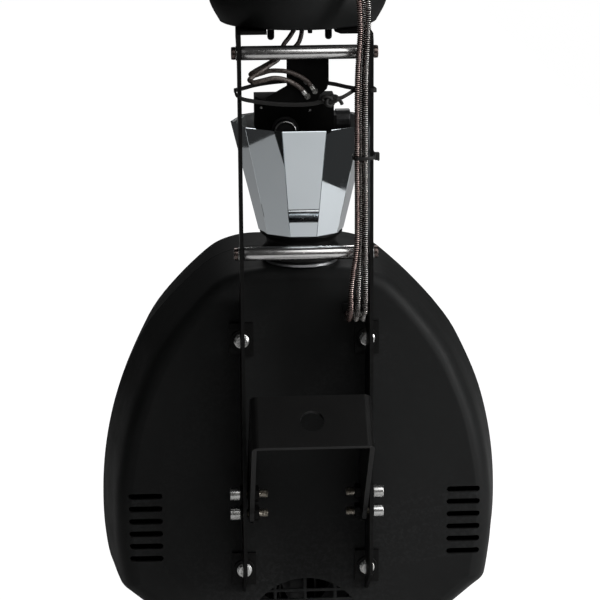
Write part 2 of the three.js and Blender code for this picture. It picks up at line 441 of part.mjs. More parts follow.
// ---------------------------------------------------------------- scan mirror head
const armPlate = prism("y", [[-14.8, 613], [20.6, 613], [20.6, 582.5], [19, 577], [13.2, 572], [11, 566.8], [-33.5, 566.8], [-30.8, 571], [-14.8, 580]], -62.6, -60.1);
const shelf = prism("z", [[-34, -62.6], [11, -62.6], [27, -36], [27, -14], [-41, -14], [-41, -36]], 564.5, 567.5);
const headBox = join(
  prism("y", [[-41, 566], [-41, 538], [-29, 515], [15, 515], [27, 538], [27, 566]], -34, -32), // face that carries the motor
  block(-41, -39, -34, -14, 539, 566), block(25, 27, -34, -14, 539, 566),
);
node("mirror_arm", cut(join(armPlate, shelf, headBox), rod("y", PAN, 3.2, -40, -28, 12)), M.painted);
node("pan_motor", join(
  turned("y", PAN, [[0, -45.8], [10.6, -45.8], [11.8, -44.6], [11.8, -34 - GAP], [0, -34 - GAP]], 16),
  rod("y", PAN, 2.5, -35, -15.5, 10),
), M.motor);
const panGroup = assembly(PAN[0], 0, PAN[1]);
const fork = join(
  block(-31, 31, -13, -11, 530, 546), rod("y", PAN, 6, -15.8, -10.6, 12),
  block(-31, -29, -13, 16, 531, 545), block(29, 31, -13, 16, 531, 545),
);
node("mirror_fork", cut(fork, rod("y", PAN, 2.8, -20, -5, 8), rod("x", TILT_AXIS, 2.3, -40, -20, 8), rod("x", TILT_AXIS, 2.3, 20, 40, 8)), M.painted, panGroup);
node("tilt_motor", turned("x", TILT_AXIS, [[0, 27], [2, 27], [2, 31 + GAP], [10, 31 + GAP], [10, 43], [9, 44], [0, 44]], 14), M.motor, panGroup);
const tiltGroup = assembly(0, TILT_AXIS[0], TILT_AXIS[1]);
// holder and mirror are made flat about the tilt axis, then leaned over the beam
const lean = (g) => g.rotateX(LEAN * DEG).translate(0, TILT_AXIS[0], TILT_AXIS[1]);
const holder = join(
  lean(turned("z", [0, 0], [[0, 2.2], [18, 2.2], [18, 4.2], [0, 4.2]], 16)),
  rod("x", TILT_AXIS, 3.6, -26.5, 26.5, 10), rod("x", TILT_AXIS, 2, -33, -26, 8),
);
node("mirror_holder", cut(holder, lean(block(-24, 24, -30, 30, -8, 1.9)), rod("x", TILT_AXIS, 2.3, 20, 30, 8)), M.alu, tiltGroup);
node("scan_mirror", lean(turned("z", [0, 0], [[0, -0.4], [MIRROR_R, -0.4], [MIRROR_R, 1.5], [0, 1.5]], 20)), M.mirror, tiltGroup);

// ---------------------------------------------------------------- mirror drum
const drumGroup = assembly(0, 0, ROOT_Z);
const deca = (r, z) => circle(0, 0, r, FACETS, 0).map(([x, y]) => [x, y, z]);
const outerCup = loft([deca(ROOT_R, ROOT_Z), deca(RIM_R, RIM_Z)]);
const slope = (RIM_R - ROOT_R) / (RIM_Z - ROOT_Z);
const innerCup = loft([deca(ROOT_R - MIRROR_T * 1.1 - slope, ROOT_Z - 1), deca(RIM_R - MIRROR_T * 1.1 + slope, RIM_Z + 1)]);
node("drum_cup", solid(outerCup).subtract(solid(innerCup)), M.mirror, drumGroup);
const C0 = DECK_Z + 4;
node("drum_carrier", turned("z", [0, 0], [[26.3, C0], [PULLEY_R + 1.4, C0], [PULLEY_R + 1.4, BELT_Z - BELT_W / 2 - 0.4], [PULLEY_R, BELT_Z - BELT_W / 2 - 0.4], [PULLEY_R, BELT_Z + BELT_W / 2 + 0.4], [PULLEY_R + 1.4, BELT_Z + BELT_W / 2 + 0.4], [PULLEY_R + 1.4, 428], [31, 431.5], [31, 437], [36.4, 441.4], [36.4, ROOT_Z - GAP], [20.5, ROOT_Z - GAP], [20.5, 427], [26.3, 427], [26.3, C0]], 20), M.painted, drumGroup);
node("drum_base", turned("z", [0, 0], [[17, 404], [20, 404], [20, DECK_Z + GAP], [32, DECK_Z + GAP], [32, DECK_Z + 3], [25.5, DECK_Z + 3], [25.5, 426.4], [17, 426.4], [17, 404]], 20), M.alu);
node("drum_motor", join(
  block(-17.5, 17.5, DRUM_MOTOR_Y - 17.5, DRUM_MOTOR_Y + 17.5, 384, DECK_Z - WALL - 1.5),
  rod("z", [0, DRUM_MOTOR_Y], 2.5, 400, BELT_Z + 2, 10),
), M.motor);
const pulleyGroup = assembly(0, DRUM_MOTOR_Y, BELT_Z);
node("drum_motor_pulley", turned("z", [0, DRUM_MOTOR_Y], [[2.8, BELT_Z - 4.2], [MOTOR_PULLEY_R + 1.4, BELT_Z - 4.2], [MOTOR_PULLEY_R + 1.4, BELT_Z - 2.9], [MOTOR_PULLEY_R, BELT_Z - 2.9], [MOTOR_PULLEY_R, BELT_Z + 2.9], [MOTOR_PULLEY_R + 1.4, BELT_Z + 2.9], [MOTOR_PULLEY_R + 1.4, BELT_Z + 4.2], [2.8, BELT_Z + 4.2], [2.8, BELT_Z - 4.2]], 12), M.alu, pulleyGroup);
// belt: the two pulleys' common tangents
const beltLoop = (e) => {
  const r0 = PULLEY_R + GAP + e, r1 = MOTOR_PULLEY_R + GAP + e, d = DRUM_MOTOR_Y, b = Math.acos((r0 - r1) / d) / DEG;
  return [...arcPts(0, 0, r0, 90 + b, 450 - b, 18), ...arcPts(0, d, r1, 90 - b, 90 + b, 5)];
};
node("drive_belt", prism("z", beltLoop(BELT_T), BELT_Z - BELT_W / 2, BELT_Z + BELT_W / 2, [beltLoop(0)]), M.rubber);

// ---------------------------------------------------------------- inside the housing
const PLATE_Y = -20;
node("inner_plate", prism("y", [[-118, 160], [118, 160], [118, 330], [84, 384], [27, 384], [27, 322], [-27, 322], [-27, 384], [-84, 384], [-118, 330]], PLATE_Y, PLATE_Y + 2, [
  circle(0, 296, 12, 10), rect(-30, 30, 168, 182),
]), M.alu);
const Y1 = PLATE_Y + 2 + GAP;
node("lens_barrel", join(
  cut(rod("z", [0, 0], 23, 330, 402, 20), rod("z", [0, 0], 20.6, 325, 410, 20)),
  cut(block(-33, 33, Y1, -14, 345, 360), rod("z", [0, 0], 22, 330, 402, 20)),
), M.painted);
node("objective_lens", turned("z", [0, 0], [[0, 384], [20.3, 388], [20.3, 392], [12, 397], [0, 398.6]], 16), M.glass);
node("led_heatsink", join(
  block(-45, 45, -3, 77, 140, 147),
  ...Array.from({ length: 9 }, (_, i) => block(-44 + i * 10.75, -42 + i * 10.75, -2, 76, 62, 141)),
), M.alu);
node("led_board", join(rod("z", [0, 0], 22, 147 + GAP, 149.3, 20).translate(0, 21, 0), turned("z", [0, 0], [[0, 149], [9, 149], [9, 152], [6.4, 155], [0, 156.4]], 16)), M.board);
const holes = (n, r0, r) => Array.from({ length: n }, (_, i) => circle(r0 * Math.cos((i / n) * 2 * Math.PI - Math.PI / 2), WHEEL_Y + r0 * Math.sin((i / n) * 2 * Math.PI - Math.PI / 2), r, 8));
const gw = assembly(0, WHEEL_Y, 232), cw = assembly(0, WHEEL_Y, 222);
const wheel = (z, n, r) => prism("z", circle(0, WHEEL_Y, WHEEL_R, 24), z, z + 1.6, [...holes(n, WHEEL_Y, r), circle(0, WHEEL_Y, 2.8, 10)]);
node("gobo_wheel", wheel(232, 8, 9), M.wheel, gw);
node("colour_wheel", wheel(222, 9, 10), M.wheel, cw);
const Y2 = Y1;
node("wheel_motors", join(
  block(-20, 20, Y2, 62, 264, 266), block(-20, 20, Y2, 62, 188, 190), block(-20, 20, Y2, Y2 + 2, 188, 266),
  block(-17.5, 17.5, WHEEL_Y - 17.5, WHEEL_Y + 17.5, 240, 265), block(-17.5, 17.5, WHEEL_Y - 17.5, WHEEL_Y + 17.5, 189, 214),
  rod("z", [0, WHEEL_Y], 2.4, 230, 242, 10), rod("z", [0, WHEEL_Y], 2.4, 213, 225, 10),
).subtract(solid(rod("z", [0, 0], 15, 180, 275, 16))), M.motor);
const fanBody = cut(
  block(-60, 60, BACK_Y + WALL + GAP, -7.2, FAN_Z - 56.5, FAN_Z + 57.5),
  rod("y", [0, FAN_Z], 55.4, BACK_Y, 0, 24),
);
const struts = join(rod("y", [0, FAN_Z], 18, -10, -7.2, 12), block(-57, 57, -9.4, -7.2, FAN_Z - 2, FAN_Z + 2), block(-2, 2, -9.4, -7.2, FAN_Z - 56.5, FAN_Z + 56.5));
node("fan_frame", join(fanBody, struts, rod("y", [0, FAN_Z], 2, -26, -8, 8)), M.plastic);
const fanGroup = assembly(0, -20, FAN_Z);
const blade = (i) => {
  const g = prism("y", [[15, -5], [52, -15], [53, 13], [15, 6]], -0.8, 0.8);
  g.rotateX(28 * DEG).translate(0, -20.5, 0).rotateY(-(i / 7) * 2 * Math.PI).translate(0, 0, FAN_Z);
  return g;
};
node("fan_rotor", cut(join(rod("y", [0, FAN_Z], 18, -30, -11, 12), ...Array.from({ length: 7 }, (_, i) => blade(i))), rod("y", [0, FAN_Z], 2.4, -27, -10, 8)), M.plastic, fanGroup);
node("power_supply", join(block(-108, -36, Y1, 22, 244, 350), block(-104, -40, 21, 24, 248, 346)), M.alu);
node("main_board", join(
  block(38, 112, -10, -8.4, 236, 346), ...[[43, 241], [107, 241], [43, 341], [107, 341]].map(([x, z]) => rod("y", [x, z], 2.6, Y1, -9, 8)),
  block(50, 70, -9, -4, 260, 284), block(78, 100, -9, -3, 300, 330), block(48, 64, -9, 2, 312, 328), block(84, 104, -9, 0, 246, 262),
), M.board);

// ---------------------------------------------------------------- cables
const Yc = CONDUIT_Y;
const tail = (x) => [[x, Yc + 0.1, 408], [x, Yc + 3.2, 394], [x, Yc + 13, 382], [x, Yc + 27, 376.2], [x, -46, 375.5], [x, -38 - GAP, 375.5]];
const routes = [
  [EXITS[0], [41.2, -73, 667.5], [43.6, -84.5, 658], [44.6, -89, 645], [44.8, -90, 628], [43.6, -89.6, 608], [42.6, Yc, 588], [42.3, Yc, 520], [42.3, Yc, 470], [41.9, Yc, 446], [39, Yc, 424], ...tail(37.2)],
  [EXITS[1], [49.2, -69, 667.5], [51.2, -82, 659], [51.9, -88.5, 645], [51.2, -90, 628], [50.3, -89.6, 608], [49.6, Yc, 588], [49.4, Yc, 520], [49.4, Yc, 470], [49.4, Yc, 446], [49.4, Yc, 424], ...tail(49.4)],
  [EXITS[2], [44.4, -69, 661.6], [47.2, -78.5, 653], [48.2, -83.6, 643], [48, -85, 628], [46.9, -85, 608], [45.9, -85.2, 588], [45.9, -85.3, 520], [45.9, -85.3, 470], [45.6, -85.6, 446], [44.1, -87.6, 424], ...tail(43.3)],
];
routes.forEach((r, i) => node("conduit_" + (i + 1), cable(r.map((p, k) => (k ? p : [p[0] + 0.4, p[1] - 0.6, p[2]])), CONDUIT_R, 8, 34), M.conduit));
const sleeves = [
  [[-7.4, -45, 624.8], [-11.8, -47.4, 618.6], [-16.2, -50.6, 613.6], [-18.9, -55, 608.3], [-21.4, -58.6, 602.4], [-28.6, -62.8, 598], [-35.5, -66.6, 594], [-43.4, -69.6, 589.3], [-46.4, -72, 586.9], [-43.4, -74, 585.3], [-36, -74.2, 586.6], [-25.9, -73, 588.4], [-17.4, -70.5, 586.8], [-9, -67.3, 582.6], [-2.8, -65.3, 577.6], [-0.4, -65.2, 574.4]],
  [[-0.7, -45, 625.4], [-1.7, -46.6, 619.5], [-4.5, -48.5, 613.4], [-12.2, -50.8, 607.2], [-21.5, -52, 602], [-34, -54, 595.4], [-42.2, -56.4, 591.3], [-45, -59, 589.6], [-42.4, -61.4, 589], [-36.4, -62.2, 590.7], [-28.9, -63.4, 593], [-20, -65, 593.2], [-15.5, -65.4, 592.7], [-6.3, -65.3, 589.5], [2.1, -65.2, 584.2], [6.3, -65.2, 579.1]],
];
sleeves.forEach((r, i) => node("mirror_cable_" + (i + 1), cable(r, SLEEVE_R, 8, 26), M.sleeve));
// strap round both rails, slack on its far side, that passes behind the conduits
const strapPath = [
  [-58.6, -84, 578.8], [-58.6, -68, 577.6], [-58.6, -54, 575.6], [-56.6, -50.6, 575.4], [-52, -50, 576.2], [-41, -50, 579.2], [-28, -50, 581.2], [-14.8, -50, 582.2], [0, -50, 582.3], [22.5, -50, 579.9], [41.2, -50, 575.2], [50, -50, 574.8], [56.6, -50.6, 575.2], [58.6, -54, 575.8], [58.6, -68, 577.4],
  [58.6, -84, 578.6], [57.6, -87, 579], [55, -87.6, 579], [52.6, -86.7, 579], [51.2, -83.4, 579], [48.5, -81, 579], [44, -80.8, 579], [40.2, -83, 578.8], [38, -86.8, 578.2], [36, -89.4, 577.2], [28, -91.4, 573.2], [13, -91.2, 571], [3, -90.4, 568.6], [-14, -89.8, 568.4], [-30, -89.4, 569.6], [-46, -88.8, 572], [-52.6, -88.6, 573.4], [-56.4, -88.2, 575.4], [-58.4, -86.6, 577.4],
];
const strap = join(closedBand(strapPath, 1.5, 3.6), block(13.2, 28, -94.2, -89.8, 567.6, 575.8));
node("retaining_strap", strap, M.rubber);
const tiePath = [[38.7, -84], [38.7, -89], [40.4, -92], [43.2, -92.9], [50.4, -92.9], [55.6, -90.4], [58.2, -86.5], [58.2, -62], [57.2, -59.8], [55, -59.2], [51.6, -59.4], [46, -65], [40.5, -74]].reverse().map(([x, y]) => [x, y, 522.5]);
node("cable_tie", join(closedBand(tiePath, 1.1, 3), block(57.8, 62.2, -79, -73, 518.2, 524.6)), M.rubber);

export default root;
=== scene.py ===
import bpy
import bmesh
import math
from mathutils import Matrix, Vector


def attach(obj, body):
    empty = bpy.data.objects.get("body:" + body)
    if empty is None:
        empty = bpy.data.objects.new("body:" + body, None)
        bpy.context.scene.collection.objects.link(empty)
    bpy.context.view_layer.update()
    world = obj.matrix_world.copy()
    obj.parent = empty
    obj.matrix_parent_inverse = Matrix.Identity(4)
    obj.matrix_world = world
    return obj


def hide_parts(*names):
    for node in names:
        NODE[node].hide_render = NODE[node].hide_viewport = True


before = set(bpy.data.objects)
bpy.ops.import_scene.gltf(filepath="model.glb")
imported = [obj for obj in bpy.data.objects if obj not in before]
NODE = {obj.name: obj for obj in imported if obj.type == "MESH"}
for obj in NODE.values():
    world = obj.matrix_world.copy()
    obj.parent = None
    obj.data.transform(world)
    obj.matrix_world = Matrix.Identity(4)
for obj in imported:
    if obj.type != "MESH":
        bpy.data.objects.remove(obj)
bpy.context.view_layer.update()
MM = 0.001
TAU = 2 * math.pi
scene = bpy.context.scene


# ------------------------------------------------------------------ camera
def make_camera():
    yaw, pitch, roll = math.radians(3.229), math.radians(14.255), math.radians(-0.381)
    d = Vector((math.sin(yaw) * math.cos(pitch), math.cos(yaw) * math.cos(pitch), -math.sin(pitch)))
    r = Vector((math.cos(yaw), -math.sin(yaw), 0))
    u = r.cross(d)
    r2 = r * math.cos(roll) + u * math.sin(roll)
    u2 = u * math.cos(roll) - r * math.sin(roll)
    cam = bpy.data.cameras.new("camera")
    cam.sensor_width = 36
    cam.lens = 2313.2 * 36 / 600
    cam.clip_start, cam.clip_end = 0.05, 100
    ob = bpy.data.objects.new("camera", cam)
    m = Matrix((r2, u2, -d)).transposed().to_4x4()
    m.translation = Vector((-113.45, -1987.32, 884.03)) * MM
    ob.matrix_world = m
    scene.collection.objects.link(ob)
    scene.camera = ob


make_camera()


# ------------------------------------------------------------------ node materials
class Mat:
    """A small helper round one node material."""

    def __init__(self, name):
        self.m = bpy.data.materials.new(name)
        self.m.use_nodes = True
        self.t = self.m.node_tree
        self.t.nodes.clear()
        self.out = self.n("ShaderNodeOutputMaterial")
        self.b = self.n("ShaderNodeBsdfPrincipled")
        self.l(self.b.outputs[0], self.out.inputs[0])
        self.co = self.n("ShaderNodeTexCoord").outputs["Object"]

    def n(self, kind, **kw):
        x = self.t.nodes.new(kind)
        for k, v in kw.items():
            setattr(x, k, v)
        return x

    def l(self, a, b):
        self.t.links.new(a, b)

    def set(self, **kw):
        for k, v in kw.items():
            self.b.inputs[k.replace("_", " ")].default_value = v
        return self

    def noise(self, scale, detail=3.0, rough=0.55, distort=0.0, vec=None, stretch=None):
        x = self.n("ShaderNodeTexNoise")
        x.inputs["Scale"].default_value = scale
        x.inputs["Detail"].default_value = detail
        x.inputs["Roughness"].default_value = rough
        x.inputs["Distortion"].default_value = distort
        v = vec or self.co
        if stretch:
            mp = self.n("ShaderNodeMapping")
            mp.inputs["Scale"].default_value = stretch
            self.l(v, mp.inputs["Vector"])
            v = mp.outputs[0]
        self.l(v, x.inputs["Vector"])
        return x.outputs["Fac"]

    def ramp(self, fac, stops, interp="LINEAR"):
        x = self.n("ShaderNodeValToRGB")
        x.color_ramp.interpolation = interp
        e = x.color_ramp.elements
        while len(e) < len(stops):
            e.new(0.5)
        for i, (p, c) in enumerate(stops):
            e[i].position = p
            e[i].color = (c, c, c, 1) if isinstance(c, (int, float)) else (*c, 1)
        self.l(fac, x.inputs[0])
        return x.outputs[0]

    def span(self, fac, a, b, lo=0.3, hi=0.7):
        x = self.n("ShaderNodeMapRange")
        x.inputs["From Min"].default_value, x.inputs["From Max"].default_value = lo, hi
        x.inputs["To Min"].default_value, x.inputs["To Max"].default_value = a, b
        self.l(fac, x.inputs["Value"])
        return x.outputs[0]

    def math(self, op, a, b=None):
        x = self.n("ShaderNodeMath", operation=op)
        for i, v in enumerate((a, b)):
            if v is None:
                continue
            if isinstance(v, (int, float)):
                x.inputs[i].default_value = v
            else:
                self.l(v, x.inputs[i])
        return x.outputs[0]

    def mix(self, fac, a, b, kind="MIX"):
        x = self.n("ShaderNodeMix", data_type="RGBA", blend_type=kind)
        for key, v in ((0, fac), (6, a), (7, b)):
            if isinstance(v, (int, float)):
                x.inputs[key].default_value = v
            elif isinstance(v, tuple):
                x.inputs[key].default_value = (*v, 1)
            else:
                self.l(v, x.inputs[key])
        return x.outputs[2]

    def bump(self, height, dist, strength=1.0, after=None):
        x = self.n("ShaderNodeBump")
        x.inputs["Strength"].default_value = strength
        x.inputs["Distance"].default_value = dist
        self.l(height, x.inputs["Height"])
        if after is not None:
            self.l(after, x.inputs["Normal"])
        return x.outputs[0]

    def color(self, v):
        self.l(v, self.b.inputs["Base Color"])
        return self

    def rough(self, v):
        self.l(v, self.b.inputs["Roughness"])
        return self

    def normal(self, v):
        self.l(v, self.b.inputs["Normal"])
        return self

    def wear(self, lo=0.53, hi=0.62):
        """1 on sharp outer edges."""
        g = self.n("ShaderNodeNewGeometry")
        return self.span(g.outputs["Pointiness"], 0.0, 1.0, lo, hi)


def painted(name, dark, light, r0, r1, grain=0.00008, grain_scale=1400, wear=0.25, dust=0.25, spec=0.5):
    m = Mat(name)
    big = m.noise(9, 4, 0.6)
    fine = m.noise(160, 3, 0.6)
    base = m.mix(m.span(big, 0, 1), dark, light)
    base = m.mix(m.math("MULTIPLY", m.span(fine, 0, 1, 0.52, 0.75), dust), base, tuple(min(1, c * 2.1 + 0.006) for c in light))
    edge = m.math("MULTIPLY", m.wear(), m.span(m.noise(260, 4, 0.7), 0, 1, 0.45, 0.6))
    base = m.mix(m.math("MULTIPLY", edge, wear), base, (0.11, 0.112, 0.115))
    m.color(base)
    m.rough(m.math("ADD", m.span(m.noise(30, 5, 0.65), r0, r1), m.math("MULTIPLY", fine, 0.06)))
    m.normal(m.bump(m.noise(grain_scale, 2, 0.5), grain, 0.6))
    m.set(Specular_IOR_Level=spec)
    return m.m


def metal(name, a, b, r0, r1, lines=None, line_depth=0.00003, patches=14, wear_tint=None):
    m = Mat(name)
    blot = m.noise(patches, 4, 0.6)
    fine = m.noise(420, 3, 0.6)
    base = m.mix(m.span(blot, 0, 1), a, b)
    if wear_tint:
        base = m.mix(m.span(m.noise(70, 4, 0.65), 0, 0.5, 0.5, 0.72), base, wear_tint)
    m.color(base)
    m.rough(m.math("ADD", m.span(blot, r0, r1), m.math("MULTIPLY", m.span(fine, -0.05, 0.05), 1.0)))
    m.set(Metallic=1.0)
    if lines:
        m.normal(m.bump(m.noise(1.0, 2, 0.6, stretch=lines), line_depth, 0.5))
    else:
        m.normal(m.bump(fine, 0.00001, 0.4))
    return m.m


MAT = {}
MAT["housing_black"] = painted("housing_black", (0.0088, 0.0091, 0.0091), (0.0112, 0.0117, 0.0116), 0.46, 0.56, 0.00005, 1500, 0.15, 0.08, 0.12)
MAT["black_steel"] = painted("black_steel", (0.0032, 0.0032, 0.0031), (0.0048, 0.0047, 0.0046), 0.36, 0.42, 0.00006, 1100, 0.03, 0.05, 0.11)
MAT["yoke_steel"] = painted("yoke_steel", (0.0036, 0.0036, 0.0035), (0.0052, 0.0051, 0.005), 0.31, 0.36, 0.00005, 1100, 0.05, 0.04, 0.2)
# painted shade: a darker, less glossy copy of black_steel for the arm plate, which stands in the shade under the cap
MAT["arm_shaded_black"] = painted("arm_shaded_black", (0.0018, 0.0018, 0.0017), (0.0026, 0.0026, 0.0025), 0.36, 0.42, 0.00003, 1100, 0.02, 0.03, 0.06)
MAT["motor_black"] = painted("motor_black", (0.006, 0.006, 0.0063), (0.010, 0.010, 0.0105), 0.3, 0.42, 0.00004, 1700, 0.3, 0.15, 0.3)
MAT["button_plastic"] = painted("button_plastic", (0.014, 0.014, 0.015), (0.02, 0.02, 0.021), 0.38, 0.5, 0.00003, 2200, 0.05, 0.1)
MAT["connector_plastic"] = painted("connector_plastic", (0.011, 0.011, 0.011), (0.017, 0.017, 0.017), 0.32, 0.46, 0.00003, 2000, 0.05, 0.15)
MAT["fan_plastic"] = painted("fan_plastic", (0.0045, 0.0045, 0.0047), (0.007, 0.007, 0.0072), 0.4, 0.52, 0.00003, 1500, 0.05, 0.1, 0.12)
MAT["black_rubber"] = painted("black_rubber", (0.006, 0.006, 0.006), (0.011, 0.0105, 0.010), 0.5, 0.66, 0.00008, 900, 0.0, 0.3, 0.25)
MAT["polished_steel"] = metal("polished_steel", (0.70, 0.69, 0.685), (0.62, 0.615, 0.61), 0.2, 0.25)
MAT["zinc_steel"] = metal("zinc_steel", (0.66, 0.665, 0.66), (0.50, 0.50, 0.485), 0.20, 0.34, None, 0, 60, (0.36, 0.34, 0.30))
MAT["plain_aluminium"] = metal("plain_aluminium", (0.62, 0.63, 0.64), (0.54, 0.55, 0.56), 0.30, 0.42, (900, 3, 900), 0.00001)
MAT["wheel_steel"] = metal("wheel_steel", (0.10, 0.10, 0.11), (0.07, 0.07, 0.075), 0.28, 0.4)
MAT["conduit_metal"] = metal("conduit_metal", (0.66, 0.65, 0.63), (0.42, 0.40, 0.38), 0.2, 0.3, None, 0, 45, (0.26, 0.17, 0.15))
MAT["conduit_warm"] = metal("conduit_warm", (0.62, 0.52, 0.49), (0.36, 0.25, 0.23), 0.2, 0.3, None, 0, 45, (0.24, 0.11, 0.10))
# painted shade: near-black metal laid in the conduits' grooves for the shade between the ridges
MAT["conduit_groove"] = metal("conduit_groove", (0.012, 0.006, 0.006), (0.005, 0.003, 0.003), 0.5, 0.62)
# painted shade: a darker, browner copy of zinc for the yoke bolts' threads, for the inner threads in the shadow of the
# rails; all four yoke bolts get it
MAT["thread_shaded_zinc"] = metal("thread_shaded_zinc", (0.44, 0.41, 0.36), (0.26, 0.24, 0.20), 0.24, 0.36, None, 0, 70)
MAT["bar_screw"] = metal("bar_screw", (0.16, 0.13, 0.12), (0.09, 0.07, 0.065), 0.2, 0.32, None, 0, 90)


def mirror_glass():
    m = Mat("mirror_glass")
    m.color(m.mix(m.span(m.noise(12, 3), 0, 1), (0.70, 0.745, 0.775), (0.655, 0.705, 0.735)))
    m.rough(m.span(m.noise(45, 5, 0.7), 0.012, 0.05, 0.4, 0.8))
    m.normal(m.bump(m.noise(14, 1, 0.4), 0.00006, 0.25))
    m.set(Metallic=1.0)
    return m.m


def braided():
    m = Mat("braided_sleeve")
    spots = m.noise(700, 2, 0.5)
    m.color(m.mix(m.span(spots, 0, 1, 0.4, 0.6), (0.022, 0.014, 0.012), (0.085, 0.070, 0.062)))
    m.rough(m.span(spots, 0.32, 0.55))
    m.normal(m.bump(m.noise(2500, 2), 0.00004, 0.5))
    m.set(Metallic=0.25)
    return m.m


def board():
    m = Mat("circuit_board")
    v = m.n("ShaderNodeTexVoronoi", feature="DISTANCE_TO_EDGE", distance="CHEBYCHEV")
    v.inputs["Scale"].default_value = 210
    m.l(m.co, v.inputs["Vector"])
    trace = m.span(v.outputs["Distance"], 1, 0, 0.03, 0.07)
    base = m.mix(m.span(m.noise(20), 0, 1), (0.010, 0.055, 0.025), (0.014, 0.075, 0.033))
    m.color(m.mix(m.math("MULTIPLY", trace, 0.7), base, (0.035, 0.15, 0.06)))
    m.rough(m.span(m.noise(90), 0.3, 0.45))
    m.normal(m.bump(trace, 0.00005, 0.5))
    return m.m


def glassy(name, tint, transmission, rough, ior=1.5):
    m = Mat(name)
    m.color(m.mix(m.span(m.noise(25), 0, 1), tint, tuple(c * 0.93 for c in tint)))
    m.rough(m.span(m.noise(60, 4), rough, rough + 0.04))
    m.set(Transmission_Weight=transmission, IOR=ior)
    return m.m


MAT["mirror_glass"] = mirror_glass()
MAT["braided_sleeve"] = braided()
MAT["circuit_board"] = board()
MAT["display_glass"] = glassy("display_glass", (0.02, 0.05, 0.10), 0.35, 0.05)
MAT["lens_glass"] = glassy("lens_glass", (0.96, 0.98, 0.98), 1.0, 0.01, 1.52)
MAT["filter_glass"] = glassy("filter_glass", (0.5, 0.3, 0.7), 0.8, 0.04)


# ------------------------------------------------------------------ mesh helpers
def finish_mesh(name, bm, mat, body, replaces=(), slot=None, angle=32.0, smooth=True):
    """Turns a bmesh in millimetres into a piece that rides on a body."""
    bmesh.ops.remove_doubles(bm, verts=bm.verts, dist=1e-5)
    loose = [v for v in bm.verts if not v.link_faces]
    bmesh.ops.delete(bm, geom=loose, context="VERTS")
    for v in bm.verts:
        v.co *= MM
    me = bpy.data.meshes.new(name)
    bm.to_mesh(me)
    bm.free()
    if smooth:
        me.polygons.foreach_set("use_smooth", [True] * len(me.polygons))
        me.set_sharp_from_angle(angle=math.radians(angle))
    ob = bpy.data.objects.new(name, me)
    scene.collection.objects.link(ob)
    mats = mat if isinstance(mat, (list, tuple)) else [mat]
    for x in mats:
        me.materials.append(MAT[x])
    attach(ob, body)
    if replaces:
        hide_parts(*replaces)
    slot or mats[0]
    return ob


def basis(axis):
    # columns: the profile's two directions and the turning axis
    return {
        "x": Matrix(((0, 0, 1), (1, 0, 0), (0, 1, 0))),
        "y": Matrix(((1, 0, 0), (0, 0, 1), (0, 1, 0))),
        "z": Matrix(((1, 0, 0), (0, 1, 0), (0, 0, 1))),
    }[axis]


def centre(axis, c):
    return {"x": Vector((0, c[0], c[1])), "y": Vector((c[0], 0, c[1])), "z": Vector((c[0], c[1], 0))}[axis]


def outward(bm, faces):
    bmesh.ops.recalc_face_normals(bm, faces=faces)


def lathe(bm, axis, c, prof, n=48, mat=0, phase=0.0, closed=False):
    """prof is a list of (radius, along); open profiles that start and end on the axis close themselves."""
    B, o = basis(axis), centre(axis, c)
    rings = []
    for r, t in prof:
        if abs(r) < 1e-9:
            rings.append([bm.verts.new(B @ Vector((0, 0, t)) + o)])
        else:
            rings.append([bm.verts.new(B @ Vector((r * math.cos(phase + i / n * TAU), r * math.sin(phase + i / n * TAU), t)) + o) for i in range(n)])
    faces = []
    pairs = list(zip(rings, rings[1:])) + ([(rings[-1], rings[0])] if closed else [])
    for a, b in pairs:
        for i in range(n):
            j = (i + 1) % n
            q = [a[i % len(a)], a[j % len(a)], b[j % len(b)], b[i % len(b)]]
            u = []
            for v in q:
                if v not in u:
                    u.append(v)
            if len(u) > 2:
                faces.append(bm.faces.new(u))
    for f in faces:
        f.material_index = mat
    outward(bm, faces)
    return faces


def slab(bm, axis, pts, a, b, mat=0, bevel=0.0, seg=2):
    """A closed prism of a convex or concave outline without holes."""
    B = {"x": lambda p, t: (t, p[0], p[1]), "y": lambda p, t: (p[0], t, p[1]), "z": lambda p, t: (p[0], p[1], t)}[axis]
    lo = [bm.verts.new(B(p, a)) for p in pts]
    hi = [bm.verts.new(B(p, b)) for p in pts]
    faces = [bm.faces.new(lo), bm.faces.new(hi)]
    n = len(pts)
    for i in range(n):
        j = (i + 1) % n
        faces.append(bm.faces.new([lo[i], lo[j], hi[j], hi[i]]))
    for f in faces:
        f.material_index = mat
    outward(bm, faces)
    if bevel:
        edges = set()
        for f in faces:
            for e in f.edges:
                if e.is_manifold and e.calc_face_angle(0) > math.radians(25):
                    edges.add(e)
        bmesh.ops.bevel(bm, geom=list(edges), offset=bevel, segments=seg, profile=0.5, affect="EDGES", clamp_overlap=True)
    return faces


def box(bm, x0, x1, y0, y1, z0, z1, bevel=0.3, seg=2, mat=0):
    return slab(bm, "z", [(x0, y0), (x1, y0), (x1, y1), (x0, y1)], z0, z1, mat, bevel, seg)


def ngon(cx, cy, r, n, phase=0.0):
    return [(cx + r * math.cos(phase + i / n * TAU), cy + r * math.sin(phase + i / n * TAU)) for i in range(n)]


def boolean(target, cutters, solver="EXACT"):
    """Cuts the temporary cutter objects from the target and applies the result."""
    for c in cutters:
        m = target.modifiers.new("cut", "BOOLEAN")
        m.operation, m.object, m.solver = "DIFFERENCE", c, solver
    dg = bpy.context.evaluated_depsgraph_get()
    me = bpy.data.meshes.new_from_object(target.evaluated_get(dg))
    target.modifiers.clear()
    old = target.data
    target.data = me
    bpy.data.meshes.remove(old)
    for c in cutters:
        d = c.data
        bpy.data.objects.remove(c)
        bpy.data.meshes.remove(d)
    return target


